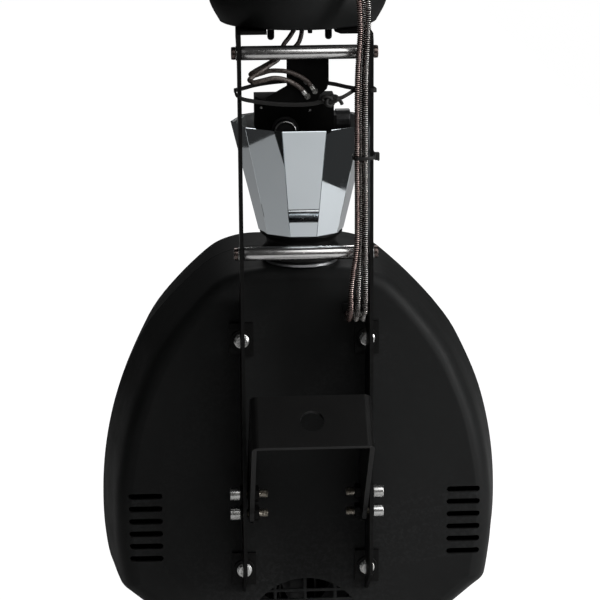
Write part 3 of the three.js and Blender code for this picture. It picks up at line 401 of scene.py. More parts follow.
def temp(bm, name="temp"):
    me = bpy.data.meshes.new(name)
    bm.to_mesh(me)
    bm.free()
    ob = bpy.data.objects.new(name, me)
    scene.collection.objects.link(ob)
    return ob


def bm_of(ob):
    """The object's mesh as a bmesh; the object goes."""
    bm = bmesh.new()
    bm.from_mesh(ob.data)
    d = ob.data
    bpy.data.objects.remove(ob)
    bpy.data.meshes.remove(d)
    return bm


def merge(bm, other):
    me = bpy.data.meshes.new("merge")
    other.to_mesh(me)
    other.free()
    bm.from_mesh(me)
    bpy.data.meshes.remove(me)


def cut(bm, *tools):
    """bm minus each tool, all bmeshes."""
    return bm_of(boolean(temp(bm), [temp(t) for t in tools]))


def new():
    return bmesh.new()


def rod(axis, c, r, a, b, n=32):
    bm = new()
    lathe(bm, axis, c, [(0, a), (r, a), (r, b), (0, b)], n)
    return bm


def catmull(points, count):
    """The CAD's centripetal curve through the points, at even lengths."""
    P = [Vector(p) for p in points]
    n = len(P)
    dense = []
    per = 24
    for s in range((n - 1) * per + 1):
        i = min(s // per, n - 2)
        w = s / per - i
        p1, p2 = P[i], P[i + 1]
        p0 = P[i - 1] if i > 0 else p1 * 2 - p2
        p3 = P[i + 2] if i + 2 < n else p2 * 2 - p1
        d0, d1, d2 = (max((a - b).length_squared ** 0.25, 1e-4) for a, b in ((p0, p1), (p1, p2), (p2, p3)))
        t1 = ((p1 - p0) / d0 - (p2 - p0) / (d0 + d1) + (p2 - p1) / d1) * d1
        t2 = ((p2 - p1) / d1 - (p3 - p1) / (d1 + d2) + (p3 - p2) / d2) * d1
        dense.append(p1 + t1 * w + (p2 * 3 - p1 * 3 - t1 * 2 - t2) * w * w + (p1 * 2 - p2 * 2 + t1 + t2) * w ** 3)
    return even(dense, count)


def even(path, count):
    run = [0.0]
    for a, b in zip(path, path[1:]):
        run.append(run[-1] + (b - a).length)
    out, k = [], 0
    for i in range(count + 1):
        s = run[-1] * i / count
        while k < len(run) - 2 and run[k + 1] < s:
            k += 1
        f = (s - run[k]) / max(run[k + 1] - run[k], 1e-9)
        out.append(path[k].lerp(path[k + 1], min(1.0, max(0.0, f))))
    return out


def frames(path, closed=False, up=None):
    """Tangent, normal and binormal at each point, without twist."""
    n = len(path)
    T = []
    for i in range(n):
        a = path[(i - 1) % n] if closed or i > 0 else path[i]
        b = path[(i + 1) % n] if closed or i < n - 1 else path[i]
        T.append((b - a).normalized())
    ref = up or (Vector((0, 0, 1)) if abs(T[0].z) < 0.8 else Vector((1, 0, 0)))
    N = [(ref - T[0] * ref.dot(T[0])).normalized()]
    for i in range(1, n):
        v = N[-1] - T[i] * N[-1].dot(T[i])
        N.append(v.normalized())
    return [(T[i], N[i], T[i].cross(N[i])) for i in range(n)]


def tube(bm, path, radius, sides=16, mat=0, caps=True):
    """radius is a number or a function of (index, length so far, angle)."""
    fr = frames(path)
    run, rings = 0.0, []
    for i, p in enumerate(path):
        if i:
            run += (p - path[i - 1]).length
        t, a, b = fr[i]
        ring = []
        for k in range(sides):
            th = k / sides * TAU
            r = radius(i, run, th) if callable(radius) else radius
            ring.append(bm.verts.new(p + (a * math.cos(th) + b * math.sin(th)) * r))
        rings.append(ring)
    faces = []
    for a, b in zip(rings, rings[1:]):
        for k in range(sides):
            j = (k + 1) % sides
            faces.append(bm.faces.new([a[k], a[j], b[j], b[k]]))
    if caps:
        faces.append(bm.faces.new(rings[0]))
        faces.append(bm.faces.new(rings[-1]))
    for f in faces:
        f.material_index = mat
    outward(bm, faces)
    return faces


def band(bm, path, section, closed=True, mat=0, upright=True):
    """A closed sweep: section is a loop of (across, up) about each point of the path."""
    n = len(path)
    rings = []
    for i in range(n):
        a = path[(i - 1) % n] if closed or i > 0 else path[i]
        b = path[(i + 1) % n] if closed or i < n - 1 else path[i]
        t = (b - a)
        t = Vector((t.x, t.y, 0)).normalized() if upright else t.normalized()
        side = Vector((t.y, -t.x, 0))
        rings.append([bm.verts.new(path[i] + side * u + Vector((0, 0, w))) for u, w in section])
    m = len(section)
    faces = []
    for i in range(n if closed else n - 1):
        a, b = rings[i], rings[(i + 1) % n]
        for k in range(m):
            l = (k + 1) % m
            faces.append(bm.faces.new([a[k], b[k], b[l], a[l]]))
    if not closed:
        faces.append(bm.faces.new(rings[0]))
        faces.append(bm.faces.new(rings[-1]))
    for f in faces:
        f.material_index = mat
    outward(bm, faces)
    return faces


def round_rect(w, h, r, seg=3):
    pts = []
    for cx, cy, a0 in ((w / 2 - r, h / 2 - r, 0), (-w / 2 + r, h / 2 - r, 90), (-w / 2 + r, -h / 2 + r, 180), (w / 2 - r, -h / 2 + r, 270)):
        for i in range(seg + 1):
            a = math.radians(a0 + 90 * i / seg)
            pts.append((cx + r * math.cos(a), cy + r * math.sin(a)))
    return pts


def chaikin(pts, times, closed):
    for _ in range(times):
        out = [] if closed else [pts[0]]
        n = len(pts)
        for i in range(n if closed else n - 1):
            a, b = pts[i], pts[(i + 1) % n]
            out.append(tuple(0.75 * p + 0.25 * q for p, q in zip(a, b)))
            out.append(tuple(0.25 * p + 0.75 * q for p, q in zip(a, b)))
        if not closed:
            out.append(pts[-1])
        pts = out
    return pts


# ------------------------------------------------------------------ housing shells
BACK_Y, PART_Y, FRONT_Y, WALL, FILLET = -35.0, 60.0, 163.2, 3.0, 12.0
HALF = [
    (47, 415), (70, 409), (85, 400), (112, 375), (138, 345), (153.7, 314), (166.3, 284), (174.6, 253), (180, 221.5),
    (182.4, 191), (182.4, 160), (180, 136), (177.4, 121.7), (173.2, 110.6), (162.2, 101.6), (75, 32.1), (72.5, 8), (69, 5),
]
SIDE = [(PART_Y, 0), (30, 4.8), (0, 9.4), (-12, 11.2), (-20, 12.9), (-26, 15), (-30.5, 18), (-33.4, 21.8), (BACK_Y, 27)]
SLANT = [(PART_Y, 0), (30, 3), (0, 7.4), (-12, 11.6), (-20, 15), (-26, 18), (-30.5, 21.4), (-33.4, 25), (BACK_Y, 30)]
SIDE_SHARE = [0, 0.1, 0.25, 0.5, 0.75, 0.9, 0.95, 1, 1, 1.04, 1.1, 1.14, 1, 0.35, 0]
SLANT_SHARE = [0, 0, 0, 0, 0, 0, 0, 0, 0, 0, 0, 0, 0.1, 0.65, 1]
DRAFT = [(PART_Y, 0), (105, 2.9), (151, 7.9), (FRONT_Y, 9.3)]
FAN_Z, FAN_R = 75.0, 54.0
LAST = len(HALF) - 4
RISE = (HALF[LAST][1] - HALF[LAST + 1][1]) / (HALF[LAST][0] - HALF[LAST + 1][0])


def curve_at(curve, y):
    c = sorted(curve)
    for (y0, v0), (y1, v1) in zip(c, c[1:]):
        if y <= y1:
            return v0 + (v1 - v0) * (y - y0) / (y1 - y0)
    return c[-1][1]


def rounded(end, y, t=0.0):
    c = abs(end) - FILLET
    h, r = abs(y) - c, FILLET - t
    return t if h <= 0 else FILLET - math.sqrt(max(0.0, r * r - h * h))


def section(y, amounts, slant, foot, level, extra=0.0):
    """One closed section of the housing: the CAD's own points, then two rounds of corner cutting."""
    full = HALF + [(-x, z) for x, z in reversed(HALF)]
    half = []
    for i in range(LAST + 1):
        p, a, b = Vector(HALF[i]), Vector(full[i - 1]), Vector(full[i + 1])
        u, v = (p - a).normalized(), (b - p).normalized()
        nu, nv = Vector((u.y, -u.x)), Vector((v.y, -v.x))
        m = (nu + nv).normalized()
        half.append(p + m * ((amounts[i] + extra) / max(0.5, m.dot(nu))))
    x = HALF[LAST + 1][0] - foot - extra
    half.append(Vector((x, HALF[LAST][1] + RISE * (x - HALF[LAST][0]) + math.hypot(1, RISE) * (slant + extra))))
    for k in (LAST + 2, LAST + 3):
        half.append(Vector((HALF[k][0] - foot - extra, HALF[k][1] + level + extra)))
    # extra points keep the flat top, the straight lower sides and the foot where they are
    h = [Vector((20, half[0].y))] + half[: LAST + 1]
    for f in (0.07, 0.5, 0.94):
        h.append(half[LAST].lerp(half[LAST + 1], f))
    h += [half[LAST + 1], half[LAST + 1].lerp(half[LAST + 2], 0.12), half[LAST + 1].lerp(half[LAST + 2], 0.9), half[LAST + 2], half[LAST + 3]]
    h += [Vector((half[LAST + 3].x - 6, half[LAST + 3].y)), Vector((25, half[LAST + 3].y))]
    pts = chaikin([tuple(q) for q in h] + [(-q.x, q.y) for q in reversed(h)], 2, True)
    return [Vector((q[0], y, q[1])) for q in pts]


def rear_section(y, side, slant, chamfer=0.0, extra=0.0):
    e, a, b = rounded(BACK_Y, min(y, 0.0)), curve_at(side, y), curve_at(slant, y)
    amounts = [(e * (1 - w) if i < 5 else 0) + w * a + SLANT_SHARE[i] * b + chamfer for i, w in enumerate(SIDE_SHARE)]
    return section(y, amounts, 0.7 * b + chamfer, 0.3 * a + chamfer, e + chamfer, extra)


def front_section(y, chamfer=0.0, extra=0.0):
    e = rounded(FRONT_Y, y)
    d = e + curve_at(DRAFT_SOFT, y) + chamfer
    return section(y, [d] * (LAST + 1), d, d, e + chamfer, extra)


def shell(rings):
    """A cup with the wall's thickness inside the rings. rings[0] is at the parting plane, the last one is filled flat."""
    bm = new()
    n = len(rings[0])
    sheet = [[bm.verts.new(p) for p in r] for r in rings]
    faces = []
    for a, b in zip(sheet, sheet[1:]):
        for i in range(n):
            j = (i + 1) % n
            faces.append(bm.faces.new([a[i], a[j], b[j], b[i]]))
    faces.append(bm.faces.new(sheet[-1]))
    outward(bm, faces)
    bm.normal_update()
    # is the flat end facing away from the middle?
    end = faces[-1]
    want = -1 if rings[-1][0].y < rings[0][0].y else 1
    if end.normal.y * want < 0:
        bmesh.ops.reverse_faces(bm, faces=bm.faces[:])
        bm.normal_update()
    inner = {}
    flat = Vector((0, want, 0))
    for k, ring in enumerate(sheet):
        for v in ring:
            nrm = v.normal if k < len(sheet) - 1 else (v.normal + flat * 4).normalized()
            p = v.co - nrm * WALL
            if k == 0:
                p.y = v.co.y
            inner[v] = bm.verts.new(p)
    for f in faces:
        bm.faces.new([inner[v] for v in reversed(f.verts[:])])
    first = sheet[0]
    for i in range(n):
        j = (i + 1) % n
        bm.faces.new([first[i], first[j], inner[first[j]], inner[first[i]]])
    outward(bm, bm.faces[:])
    return bm


def slot_pts(x0, x1, z, h, n=7):
    r = h / 2
    pts = [(x1 - r + r * math.sin(i / n * math.pi), z + r * math.cos(i / n * math.pi)) for i in range(n + 1)]
    return pts + [(x0 + r - r * math.sin(i / n * math.pi), z - r * math.cos(i / n * math.pi)) for i in range(n + 1)]


def rear_shell():
    side, slant = chaikin(SIDE, 2, False), chaikin(SLANT, 2, False)
    rings = [rear_section(PART_Y, side, slant, 0.5), rear_section(PART_Y - 0.6, side, slant)]
    for y in (45, 30, 15, 0, -8, -14, -18, -21, -23.5, -25.7, -27.6, -29.3, -30.8, -32, -33, -33.8, -34.4, -34.8):
        rings.append(rear_section(y, side, slant))
    rings += [rear_section(BACK_Y, side, slant), rear_section(BACK_Y, side, slant, 0.0, 1.2)]
    bm = shell(rings)
    tools = []
    for i in range(6):
        for a, b in ((-157, -127), (127, 157)):
            t = new()
            slab(t, "y", slot_pts(a, b, 209.8 - i * 11.7, 5.4), BACK_Y - 2, -20)
            tools.append(t)
    tools.append(rod("y", (0, FAN_Z), FAN_R, BACK_Y - 2, BACK_Y + 6, 96))
    tools.append(rod("z", (0, 0), 24, 400, 420, 48))
    tools.append(rod("z", (0, 50), 5, 400, 420, 24))
    for z in (353.1, 140.6):
        for x in (-55, 55):
            tools.append(rod("y", (x, z), 4.4, BACK_Y - 2, BACK_Y + 6, 24))
    bm = cut(bm, *tools)
    # the fan guard: bars and ribs moulded in one with the panel
    for i in range(10):
        dz = (i - 4.5) * 9.4
        half = math.sqrt((FAN_R + 0.6) ** 2 - dz * dz)
        box(bm, -half, half, BACK_Y + 0.2, BACK_Y + 2.6, FAN_Z + dz - 1.4, FAN_Z + dz + 1.4, 0.6, 2)
    for x in (-27.5, -0.5, 26.5):
        half = math.sqrt((FAN_R + 0.6) ** 2 - x * x)
        box(bm, x - 1.4, x + 1.4, BACK_Y + 0.4, BACK_Y + 3, FAN_Z - half, FAN_Z + half, 0.4, 2)
    # the bush plate where the conduits go in, and the pegs inside
    box(bm, 33.4, 53.1, -38, BACK_Y + 0.5, 368.5, 384, 1.2, 3)
    for x, z in ((-100, 200), (100, 200), (-70, 370), (70, 370)):
        lathe(bm, "y", (x, z), [(0, BACK_Y + 1), (4, BACK_Y + 1), (4, -20.8), (3.5, -20.3), (0, -20.3)], 20)
    return finish_mesh("housing_rear", bm, "housing_black", "fixture", ["rear_shell"], angle=34)


DRAFT_SOFT = chaikin(DRAFT, 2, False)


def front_shell():
    rings = [front_section(PART_Y + 0.3, 0.5), front_section(PART_Y + 0.9)]
    for y in (75, 90, 105, 120, 135, 145):
        rings.append(front_section(y))
    for i in range(0, 10):
        rings.append(front_section(FRONT_Y - FILLET + FILLET * math.sin(i / 9 * math.pi / 2)))
    rings.append(front_section(FRONT_Y, 0.0, 1.2))
    bm = shell(rings)
    t = new()
    slab(t, "y", round_rect(160, 74, 3, 4), FRONT_Y - 8, FRONT_Y + 3)
    for v in t.verts:
        v.co.z += 155
    bm = cut(bm, t)
    return finish_mesh("housing_front", bm, "housing_black", "fixture", ["front_shell"], angle=34)


rear_shell()
front_shell()


# ------------------------------------------------------------------ fasteners
def hex_head(bm, axis, c, af, a, b, chamfer=0.6, mat=0, phase=0.0, side=1):
    """A hexagon head from a to b; its chamfered face is at b."""
    r = af / math.sqrt(3)
    B, o = basis(axis), centre(axis, c)
    n = 48
    rings = []
    sgn = 1 if b > a else -1
    apothem = af / 2

    def hexr(th):
        k = ((th - phase) % (TAU / 6)) - TAU / 12
        return apothem / math.cos(k)

    def ring(rfun, t):
        return [bm.verts.new(B @ Vector((rfun(i / n * TAU) * math.cos(i / n * TAU), rfun(i / n * TAU) * math.sin(i / n * TAU), t(i / n * TAU) if callable(t) else t)) + o) for i in range(n)]

    cone = apothem * 0.98
    top = ring(lambda th: cone, b)
    # where the cone of the chamfer meets the hexagon the edge dips at the corners
    mid = ring(hexr, lambda th: b - sgn * (hexr(th) - cone) * 0.58)
    low = ring(hexr, a)
    c0 = bm.verts.new(B @ Vector((0, 0, a)) + o)
    c1 = bm.verts.new(B @ Vector((0, 0, b)) + o)
    faces = []
    for p, q in ((low, mid), (mid, top)):
        for i in range(n):
            j = (i + 1) % n
            faces.append(bm.faces.new([p[i], p[j], q[j], q[i]]))
    for i in range(n):
        j = (i + 1) % n
        faces.append(bm.faces.new([low[i], low[j], c0]))
        faces.append(bm.faces.new([top[i], top[j], c1]))
    for f in faces:
        f.material_index = mat
    outward(bm, faces)
    return faces


def thread(bm, axis, c, r, a, b, pitch=1.25, n=24, mat=0, tip=True):
    """A screw thread as a ridged spiral, with a chamfered end at b."""
    B, o = basis(axis), centre(axis, c)
    length = abs(b - a)
    sgn = 1 if b > a else -1
    per = 4
    steps = max(4, int(length / pitch * per))
    rings = []
    for k in range(steps + 1):
        t = k / steps * length
        ring = []
        for i in range(n):
            th = i / n * TAU
            ph = (t / pitch - i / n) % 1.0
            h = 1 - abs(ph * 2 - 1)
            rr = r - 0.62 * (1 - h) * min(1.0, 1.0)
            if tip and t > length - 1.0:
                rr = min(rr, r - 0.9 * (t - (length - 1.0)))
            ring.append(bm.verts.new(B @ Vector((rr * math.cos(th), rr * math.sin(th), a + sgn * t)) + o))
        rings.append(ring)
    faces = []
    for p, q in zip(rings, rings[1:]):
        for i in range(n):
            j = (i + 1) % n
            faces.append(bm.faces.new([p[i], p[j], q[j], q[i]]))
    faces.append(bm.faces.new(rings[0]))
    faces.append(bm.faces.new(rings[-1]))
    for f in faces:
        f.material_index = mat
    outward(bm, faces)


def washer(bm, axis, c, r, hole, a, b, mat=0):
    e = 0.25
    sg = 1 if b > a else -1
    lathe(bm, axis, c, [(hole, a), (r - e, a), (r, a + sg * e), (r, b - sg * e), (r - e, b), (hole, b)], 48, mat, closed=True)


def rail_bolts():
    for name, x, z, ph in (("upper_left", -55, 353.1, 0.12), ("upper_right", 55, 353.1, -0.1), ("lower_left", -55, 140.6, 0.2), ("lower_right", 55, 140.6, 0.05)):
        y = -38.7
        bm = new()
        washer(bm, "y", (x, z), 9.1, 4.2, y, y - 1.5, 1)
        lathe(bm, "y", (x, z), [(0, y - 1.4), (6.5, y - 1.4), (6.85, y - 1.8), (6.85, y - 2.6), (6.5, y - 3.3), (5.6, y - 3.8), (0, y - 3.8)], 48)
        hex_head(bm, "y", (x, z), 10.2, y - 3.7, y - 6.8, chamfer=1.0, phase=ph)
        thread(bm, "y", (x, z), 4, y, -23.2)
        hex_head(bm, "y", (x, z), 13, -31.7, -25.3, phase=ph * 2)
        finish_mesh("bolt_" + name, bm, ["zinc_steel", "black_steel"], "fixture", ["rail_bolt_" + name], angle=28)


rail_bolts()


def socket_head(bm, axis, c, r, a, b, af, depth, mat=0):
    """A knurled cap screw head from a to b with a hexagon socket in the end at b."""
    sgn = 1 if b > a else -1
    B, o = basis(axis), centre(axis, c)
    n = 72
    ap = af / 2

    def hexr(th):
        return ap / math.cos((th % (TAU / 6)) - TAU / 12)

    def ring(f, t):
        return [bm.verts.new(B @ Vector((f(i) * math.cos(i / n * TAU), f(i) * math.sin(i / n * TAU), t)) + o) for i in range(n)]

    kn = lambda i: r - (0.16 if i % 2 else 0.0)
    rings = [ring(lambda i: r - 0.5, a), ring(lambda i: r - 0.1, a + sgn * 0.4), ring(kn, a + sgn * 0.8), ring(kn, b - sgn * 1.5),
             ring(lambda i: r - 0.12, b - sgn * 1.2), ring(lambda i: r - 0.12, b - sgn * 0.5), ring(lambda i: r - 0.35, b - sgn * 0.15), ring(lambda i: r - 0.7, b),
             ring(lambda i: ap * 1.2, b), ring(lambda i: hexr(i / n * TAU), b - sgn * 0.5), ring(lambda i: hexr(i / n * TAU), b - sgn * depth)]
    faces = []
    for p, q in zip(rings, rings[1:]):
        for i in range(n):
            j = (i + 1) % n
            faces.append(bm.faces.new([p[i], p[j], q[j], q[i]]))
    faces.append(bm.faces.new(rings[0]))
    faces.append(bm.faces.new(rings[-1]))
    for f in faces:
        f.material_index = mat
    outward(bm, faces)


def yoke_bolts():
    for name, s, z in (("upper_left", -1, 220), ("upper_right", 1, 220), ("lower_left", -1, 202), ("lower_right", 1, 202)):
        c = (-63, z)
        o = 56.8
        bm = new()
        washer(bm, "x", c, 7.6, 4.2, s * o, s * (o + 1.6), 1)
        socket_head(bm, "x", c, 5.9, s * (o + 1.6), s * (o + 10.6), 5, 4.4)
        # the threads take the darker copy of zinc: painted shade
        thread(bm, "x", c, 4, s * (o + 1), s * 34.4, mat=2)
        hex_head(bm, "x", c, 13, s * 46.9, s * 42.0, phase=0.4, mat=1)
        finish_mesh("yoke_screw_" + name, bm, ["zinc_steel", "black_steel", "thread_shaded_zinc"], "yoke", ["yoke_bolt_" + name], angle=28)


yoke_bolts()


def cross_bars():
    for name, c in (("top", (-69, 609)), ("lower", (-72, 438))):
        bm = new()
        i, o, r = 53.2, 56.8, 6.0
        prof = [(0, -i), (r - 0.8, -i), (r - 0.2, -i + 0.4), (r, -i + 0.9), (r, i - 0.9), (r - 0.2, i - 0.4), (r - 0.8, i), (0, i)]
        lathe(bm, "x", c, prof, 64)
        for s in (-1, 1):
            lathe(bm, "x", c, [(0, s * (i - 1)), (3, s * (i - 1)), (3, s * (o + 0.5)), (0, s * (o + 0.5))], 24, 1)
            washer(bm, "x", c, 6.0, 3, s * o, s * (o + 0.9), 1)
            socket_head(bm, "x", c, 5.4, s * (o + 0.9), s * (o + 4.6), 4.2, 2.4, 2)
        finish_mesh("crossbar_" + name, bm, ["polished_steel", "zinc_steel", "bar_screw"], "fixture", ["cross_bar_" + name], angle=28)


cross_bars()


# ------------------------------------------------------------------ cap
CAP_X = -1.5


def cap():
    bm = new()
    flat, rb, R, z0, seam, c = 62.0, 68.0, 77.5, 626.6, 654.0, 2.4

    def side(rb, R, z0, c, last):
        p = [(flat + (rb - flat) * math.sin(a / 6 * math.pi / 2), z0 + c - c * math.cos(a / 6 * math.pi / 2)) for a in range(7)]
        return p + [(rb + (R - rb) * math.sin(k / 10 * math.pi / 2), z0 + c + (last - z0 - c) * k / 10) for k in range(1, 11)]

    prof = [(0, z0)] + [(flat * k / 4, z0) for k in range(1, 4)] + side(rb, R, z0, c, seam - 0.5)
    prof += [(R - 0.45, seam), (R - 2.5, seam)] + list(reversed(side(rb - 2.6, R - 2.5, z0 + 2.5, 1.4, seam - 0.4))) + [(0, z0 + 2.5)]
    lathe(bm, "z", (CAP_X, 0), prof, 128)
    for x in (-26.6, 22.4):
        lathe(bm, "z", (x, -34), [(0, 614.8), (1.6, 615.2), (2.7, 616.3), (3, 617.8), (3, 628), (0, 628)], 24)
    lathe(bm, "z", (6.5, -38), [(0, 620.6), (1.5, 620.8), (2, 621.3), (2, 628), (0, 628)], 20)
    finish_mesh("cap_lower", bm, "housing_black", "fixture", ["cap_base"], angle=30)

    bm = new()
    d = [(77.5, 654.8), (77.5, 669.5), (75.6, 680), (68, 689.5), (51, 696.2), (26, 699.6), (0, 700)]
    d = chaikin(d, 3, False)
    prof = [(77.05, 654.3)] + d
    prof += [(0, 697.5), (46, 694.2), (66.8, 686), (75, 669), (75, 654.3)]
    lathe(bm, "z", (CAP_X, 0), prof, 128, closed=True)
    finish_mesh("cap_upper", bm, "housing_black", "fixture", ["cap_dome"], angle=30)


cap()


# ------------------------------------------------------------------ mirror drum
FACETS, RIM_R, RIM_Z, ROOT_R, ROOT_Z = 10, 61.0, 540.0, 37.5, 443.5


def drum():
    """Ten mirror strips on a thin ten-sided cup."""
    bm = new()
    ap = math.cos(math.pi / FACETS)

    def corner(k, z, off):
        r = ROOT_R + (RIM_R - ROOT_R) * (z - ROOT_Z) / (RIM_Z - ROOT_Z)
        a = k * TAU / FACETS
        rr = (r * ap - off) / ap
        return Vector((rr * math.cos(a), rr * math.sin(a), z))

    # the cup itself, just under the glass
    t0, t1 = 1.0, 2.4
    outer = [[bm.verts.new(corner(k, z, t0)) for k in range(FACETS)] for z in (ROOT_Z, RIM_Z - 0.6)]
    inner = [[bm.verts.new(corner(k, z, t1)) for k in range(FACETS)] for z in (ROOT_Z, RIM_Z - 0.6)]
    fs = []
    for k in range(FACETS):
        j = (k + 1) % FACETS
        fs.append(bm.faces.new([outer[0][k], outer[0][j], outer[1][j], outer[1][k]]))
        fs.append(bm.faces.new([inner[0][j], inner[0][k], inner[1][k], inner[1][j]]))
        fs.append(bm.faces.new([outer[1][k], outer[1][j], inner[1][j], inner[1][k]]))
        fs.append(bm.faces.new([outer[0][j], outer[0][k], inner[0][k], inner[0][j]]))
    for f in fs:
        f.material_index = 1
    outward(bm, fs)
    # glass strips
    for k in range(FACETS):
        g = 0.22  # half gap between strips
        c = [corner(k, ROOT_Z, 0), corner(k + 1, ROOT_Z, 0), corner(k + 1, RIM_Z, 0), corner(k, RIM_Z, 0)]
        side0, side1 = (c[1] - c[0]).normalized(), (c[2] - c[3]).normalized()
        nrm = (c[1] - c[0]).cross(c[3] - c[0]).normalized()
        mid = (c[0] + c[1] + c[2] + c[3]) / 4
        if nrm.dot(Vector((mid.x, mid.y, 0))) < 0:
            nrm = -nrm
        q = [c[0] + side0 * g, c[1] - side0 * g, c[2] - side1 * g, c[3] + side1 * g]
        q = [p - nrm * 0.02 for p in q]
        e = 0.28  # ground edge
        ctr = sum(q, Vector()) / 4
        face = [p + ((ctr - p).normalized()) * e * 1.3 for p in q]
        low = [p - nrm * 0.25 for p in q]
        back = [p - nrm * 0.95 for p in q]
        v0 = [bm.verts.new(p) for p in face]
        v1 = [bm.verts.new(p) for p in low]
        v2 = [bm.verts.new(p) for p in back]
        fs = [bm.faces.new(v0), bm.faces.new(v2)]
        for i in range(4):
            j = (i + 1) % 4
            fs.append(bm.faces.new([v0[i], v0[j], v1[j], v1[i]]))
            fs.append(bm.faces.new([v1[i], v1[j], v2[j], v2[i]]))
        for f in fs:
            f.material_index = 0
        outward(bm, fs)
    finish_mesh("drum_mirrors", bm, ["mirror_glass", "cup_inside"], "drum", ["drum_cup"], angle=3)

    bm = new()
    c0, pr, bz, bw = 419.0, 33.0, 423.0, 5.0
    prof = [(26.3, c0), (34, c0), (34.4, c0 + 0.4), (34.4, bz - bw / 2 - 0.4), (pr, bz - bw / 2 - 0.4), (pr, bz + bw / 2 + 0.4), (34.4, bz + bw / 2 + 0.4), (34.4, 427.6), (34, 428),
            (31.4, 430.6), (31, 431.8), (31, 436.6), (31.5, 437.6), (36.0, 441.2), (36.4, 441.8), (36.4, 443.2), (20.9, 443.2), (20.5, 442.8), (20.5, 427), (26.3, 427)]
    lathe(bm, "z", (0, 0), prof, 96, closed=True)
    finish_mesh("drum_hub", bm, "black_steel", "drum", ["drum_carrier"], angle=30)

    bm = new()
    lathe(bm, "z", (0, 0), [(17, 404), (20, 404), (20, 415.3), (31.6, 415.3), (32, 415.7), (32, 417.6), (31.6, 418), (25.5, 418), (25.5, 426.1), (25.2, 426.4), (17.3, 426.4), (17, 426.1)], 96, closed=True)
    for k in range(4):
        a = math.radians(45 + 90 * k)
        c = (29 * math.cos(a), 29 * math.sin(a))
        lathe(bm, "z", c, [(0, 417.8), (1.9, 417.8), (1.9, 418.5), (1.5, 418.8), (0, 418.8)], 16)
    finish_mesh("drum_bearing", bm, "plain_aluminium", "fixture", ["drum_base"], angle=30)

    bm = new()
    bz, mr, n = 423.0, 9.0, 40
    lathe(bm, "z", (0, 50), [(2.8, bz - 4.2), (10, bz - 4.2), (10.4, bz - 3.8), (10.4, bz - 2.9), (mr, bz - 2.9), (mr, bz + 2.9), (10.4, bz + 2.9), (10.4, bz + 3.8), (10, bz + 4.2), (5.2, bz + 4.2), (4.8, bz + 3.4), (2.8, bz + 3.4)], 48, closed=True)
    finish_mesh("motor_pulley_turned", bm, "plain_aluminium", "motor_pulley", ["drum_motor_pulley"], angle=30)

    # belt: a smooth band of rounded section round both pulleys
    r0, r1, d = 33.3, 9.3, 50.0
    b = math.acos((r0 - r1) / d)
    path = []
    for i in range(61):
        a = math.pi / 2 + b + (TAU - 2 * b) * i / 60
        path.append(Vector(((r0 + 0.7) * math.cos(a), (r0 + 0.7) * math.sin(a), 423)))
    for i in range(17):
        a = math.pi / 2 - b + 2 * b * i / 16
        path.append(Vector(((r1 + 0.7) * math.cos(a), d + (r1 + 0.7) * math.sin(a), 423)))
    loop = even(path + [path[0]], 180)[:-1]
    bm = new()
    band(bm, loop, round_rect(1.4, 5.0, 0.35, 2))
    finish_mesh("belt", bm, "black_rubber", "fixture", ["drive_belt"], angle=40)


def cup_inside():
    m = Mat("cup_inside")
    m.color(m.mix(m.span(m.noise(16, 4), 0, 1), (0.30, 0.31, 0.31), (0.40, 0.41, 0.41)))
    m.rough(m.span(m.noise(40, 4), 0.42, 0.58))
    m.set(Metallic=0.6)
    m.normal(m.bump(m.noise(900, 2), 0.00004, 0.5))
    MAT["cup_inside"] = m.m


cup_inside()
drum()


# ------------------------------------------------------------------ cables
Yc = -89.3
EXITS = [(38.5, -66.4, 668.5), (46, -61.2, 668.5), (42.4, -63.9, 662.6)]


def tail(x):
    return [(x, Yc + 0.1, 408), (x, Yc + 3.2, 394), (x, Yc + 13, 382), (x, Yc + 27, 376.2), (x, -46, 375.5), (x, -38.3, 375.5)]


ROUTES = [
    [EXITS[0], (41.2, -73, 667.5), (43.6, -84.5, 658), (44.6, -89, 645), (44.8, -90, 628), (43.6, -89.6, 608), (42.6, Yc, 588), (42.3, Yc, 520), (42.3, Yc, 470), (41.9, Yc, 446), (39, Yc, 424)] + tail(37.2),
    [EXITS[1], (49.2, -69, 667.5), (51.2, -82, 659), (51.9, -88.5, 645), (51.2, -90, 628), (50.3, -89.6, 608), (49.6, Yc, 588), (49.4, Yc, 520), (49.4, Yc, 470), (49.4, Yc, 446), (49.4, Yc, 424)] + tail(49.4),
    [EXITS[2], (44.4, -69, 661.6), (47.2, -78.5, 653), (48.2, -83.6, 643), (48, -85, 628), (46.9, -85, 608), (45.9, -85.2, 588), (45.9, -85.3, 520), (45.9, -85.3, 470), (45.6, -85.6, 446), (44.1, -87.6, 424)] + tail(43.3),
]
SLEEVES = [
    [(-7.4, -45, 624.8), (-11.8, -47.4, 618.6), (-16.2, -50.6, 613.6), (-18.9, -55, 608.3), (-21.4, -58.6, 602.4), (-28.6, -62.8, 598), (-35.5, -66.6, 594), (-43.4, -69.6, 589.3), (-46.4, -72, 586.9), (-43.4, -74, 585.3), (-36, -74.2, 586.6), (-25.9, -73, 588.4), (-17.4, -70.5, 586.8), (-9, -67.3, 582.6), (-2.8, -65.3, 577.6), (-0.4, -65.2, 574.4)],
    [(-0.7, -45, 625.4), (-1.7, -46.6, 619.5), (-4.5, -48.5, 613.4), (-12.2, -50.8, 607.2), (-21.5, -52, 602), (-34, -54, 595.4), (-42.2, -56.4, 591.3), (-45, -59, 589.6), (-42.4, -61.4, 589), (-36.4, -62.2, 590.7), (-28.9, -63.4, 593), (-20, -65, 593.2), (-15.5, -65.4, 592.7), (-6.3, -65.3, 589.5), (2.1, -65.2, 584.2), (6.3, -65.2, 579.1)],
]


def length_of(path):
    return sum((b - a).length for a, b in zip(path, path[1:]))


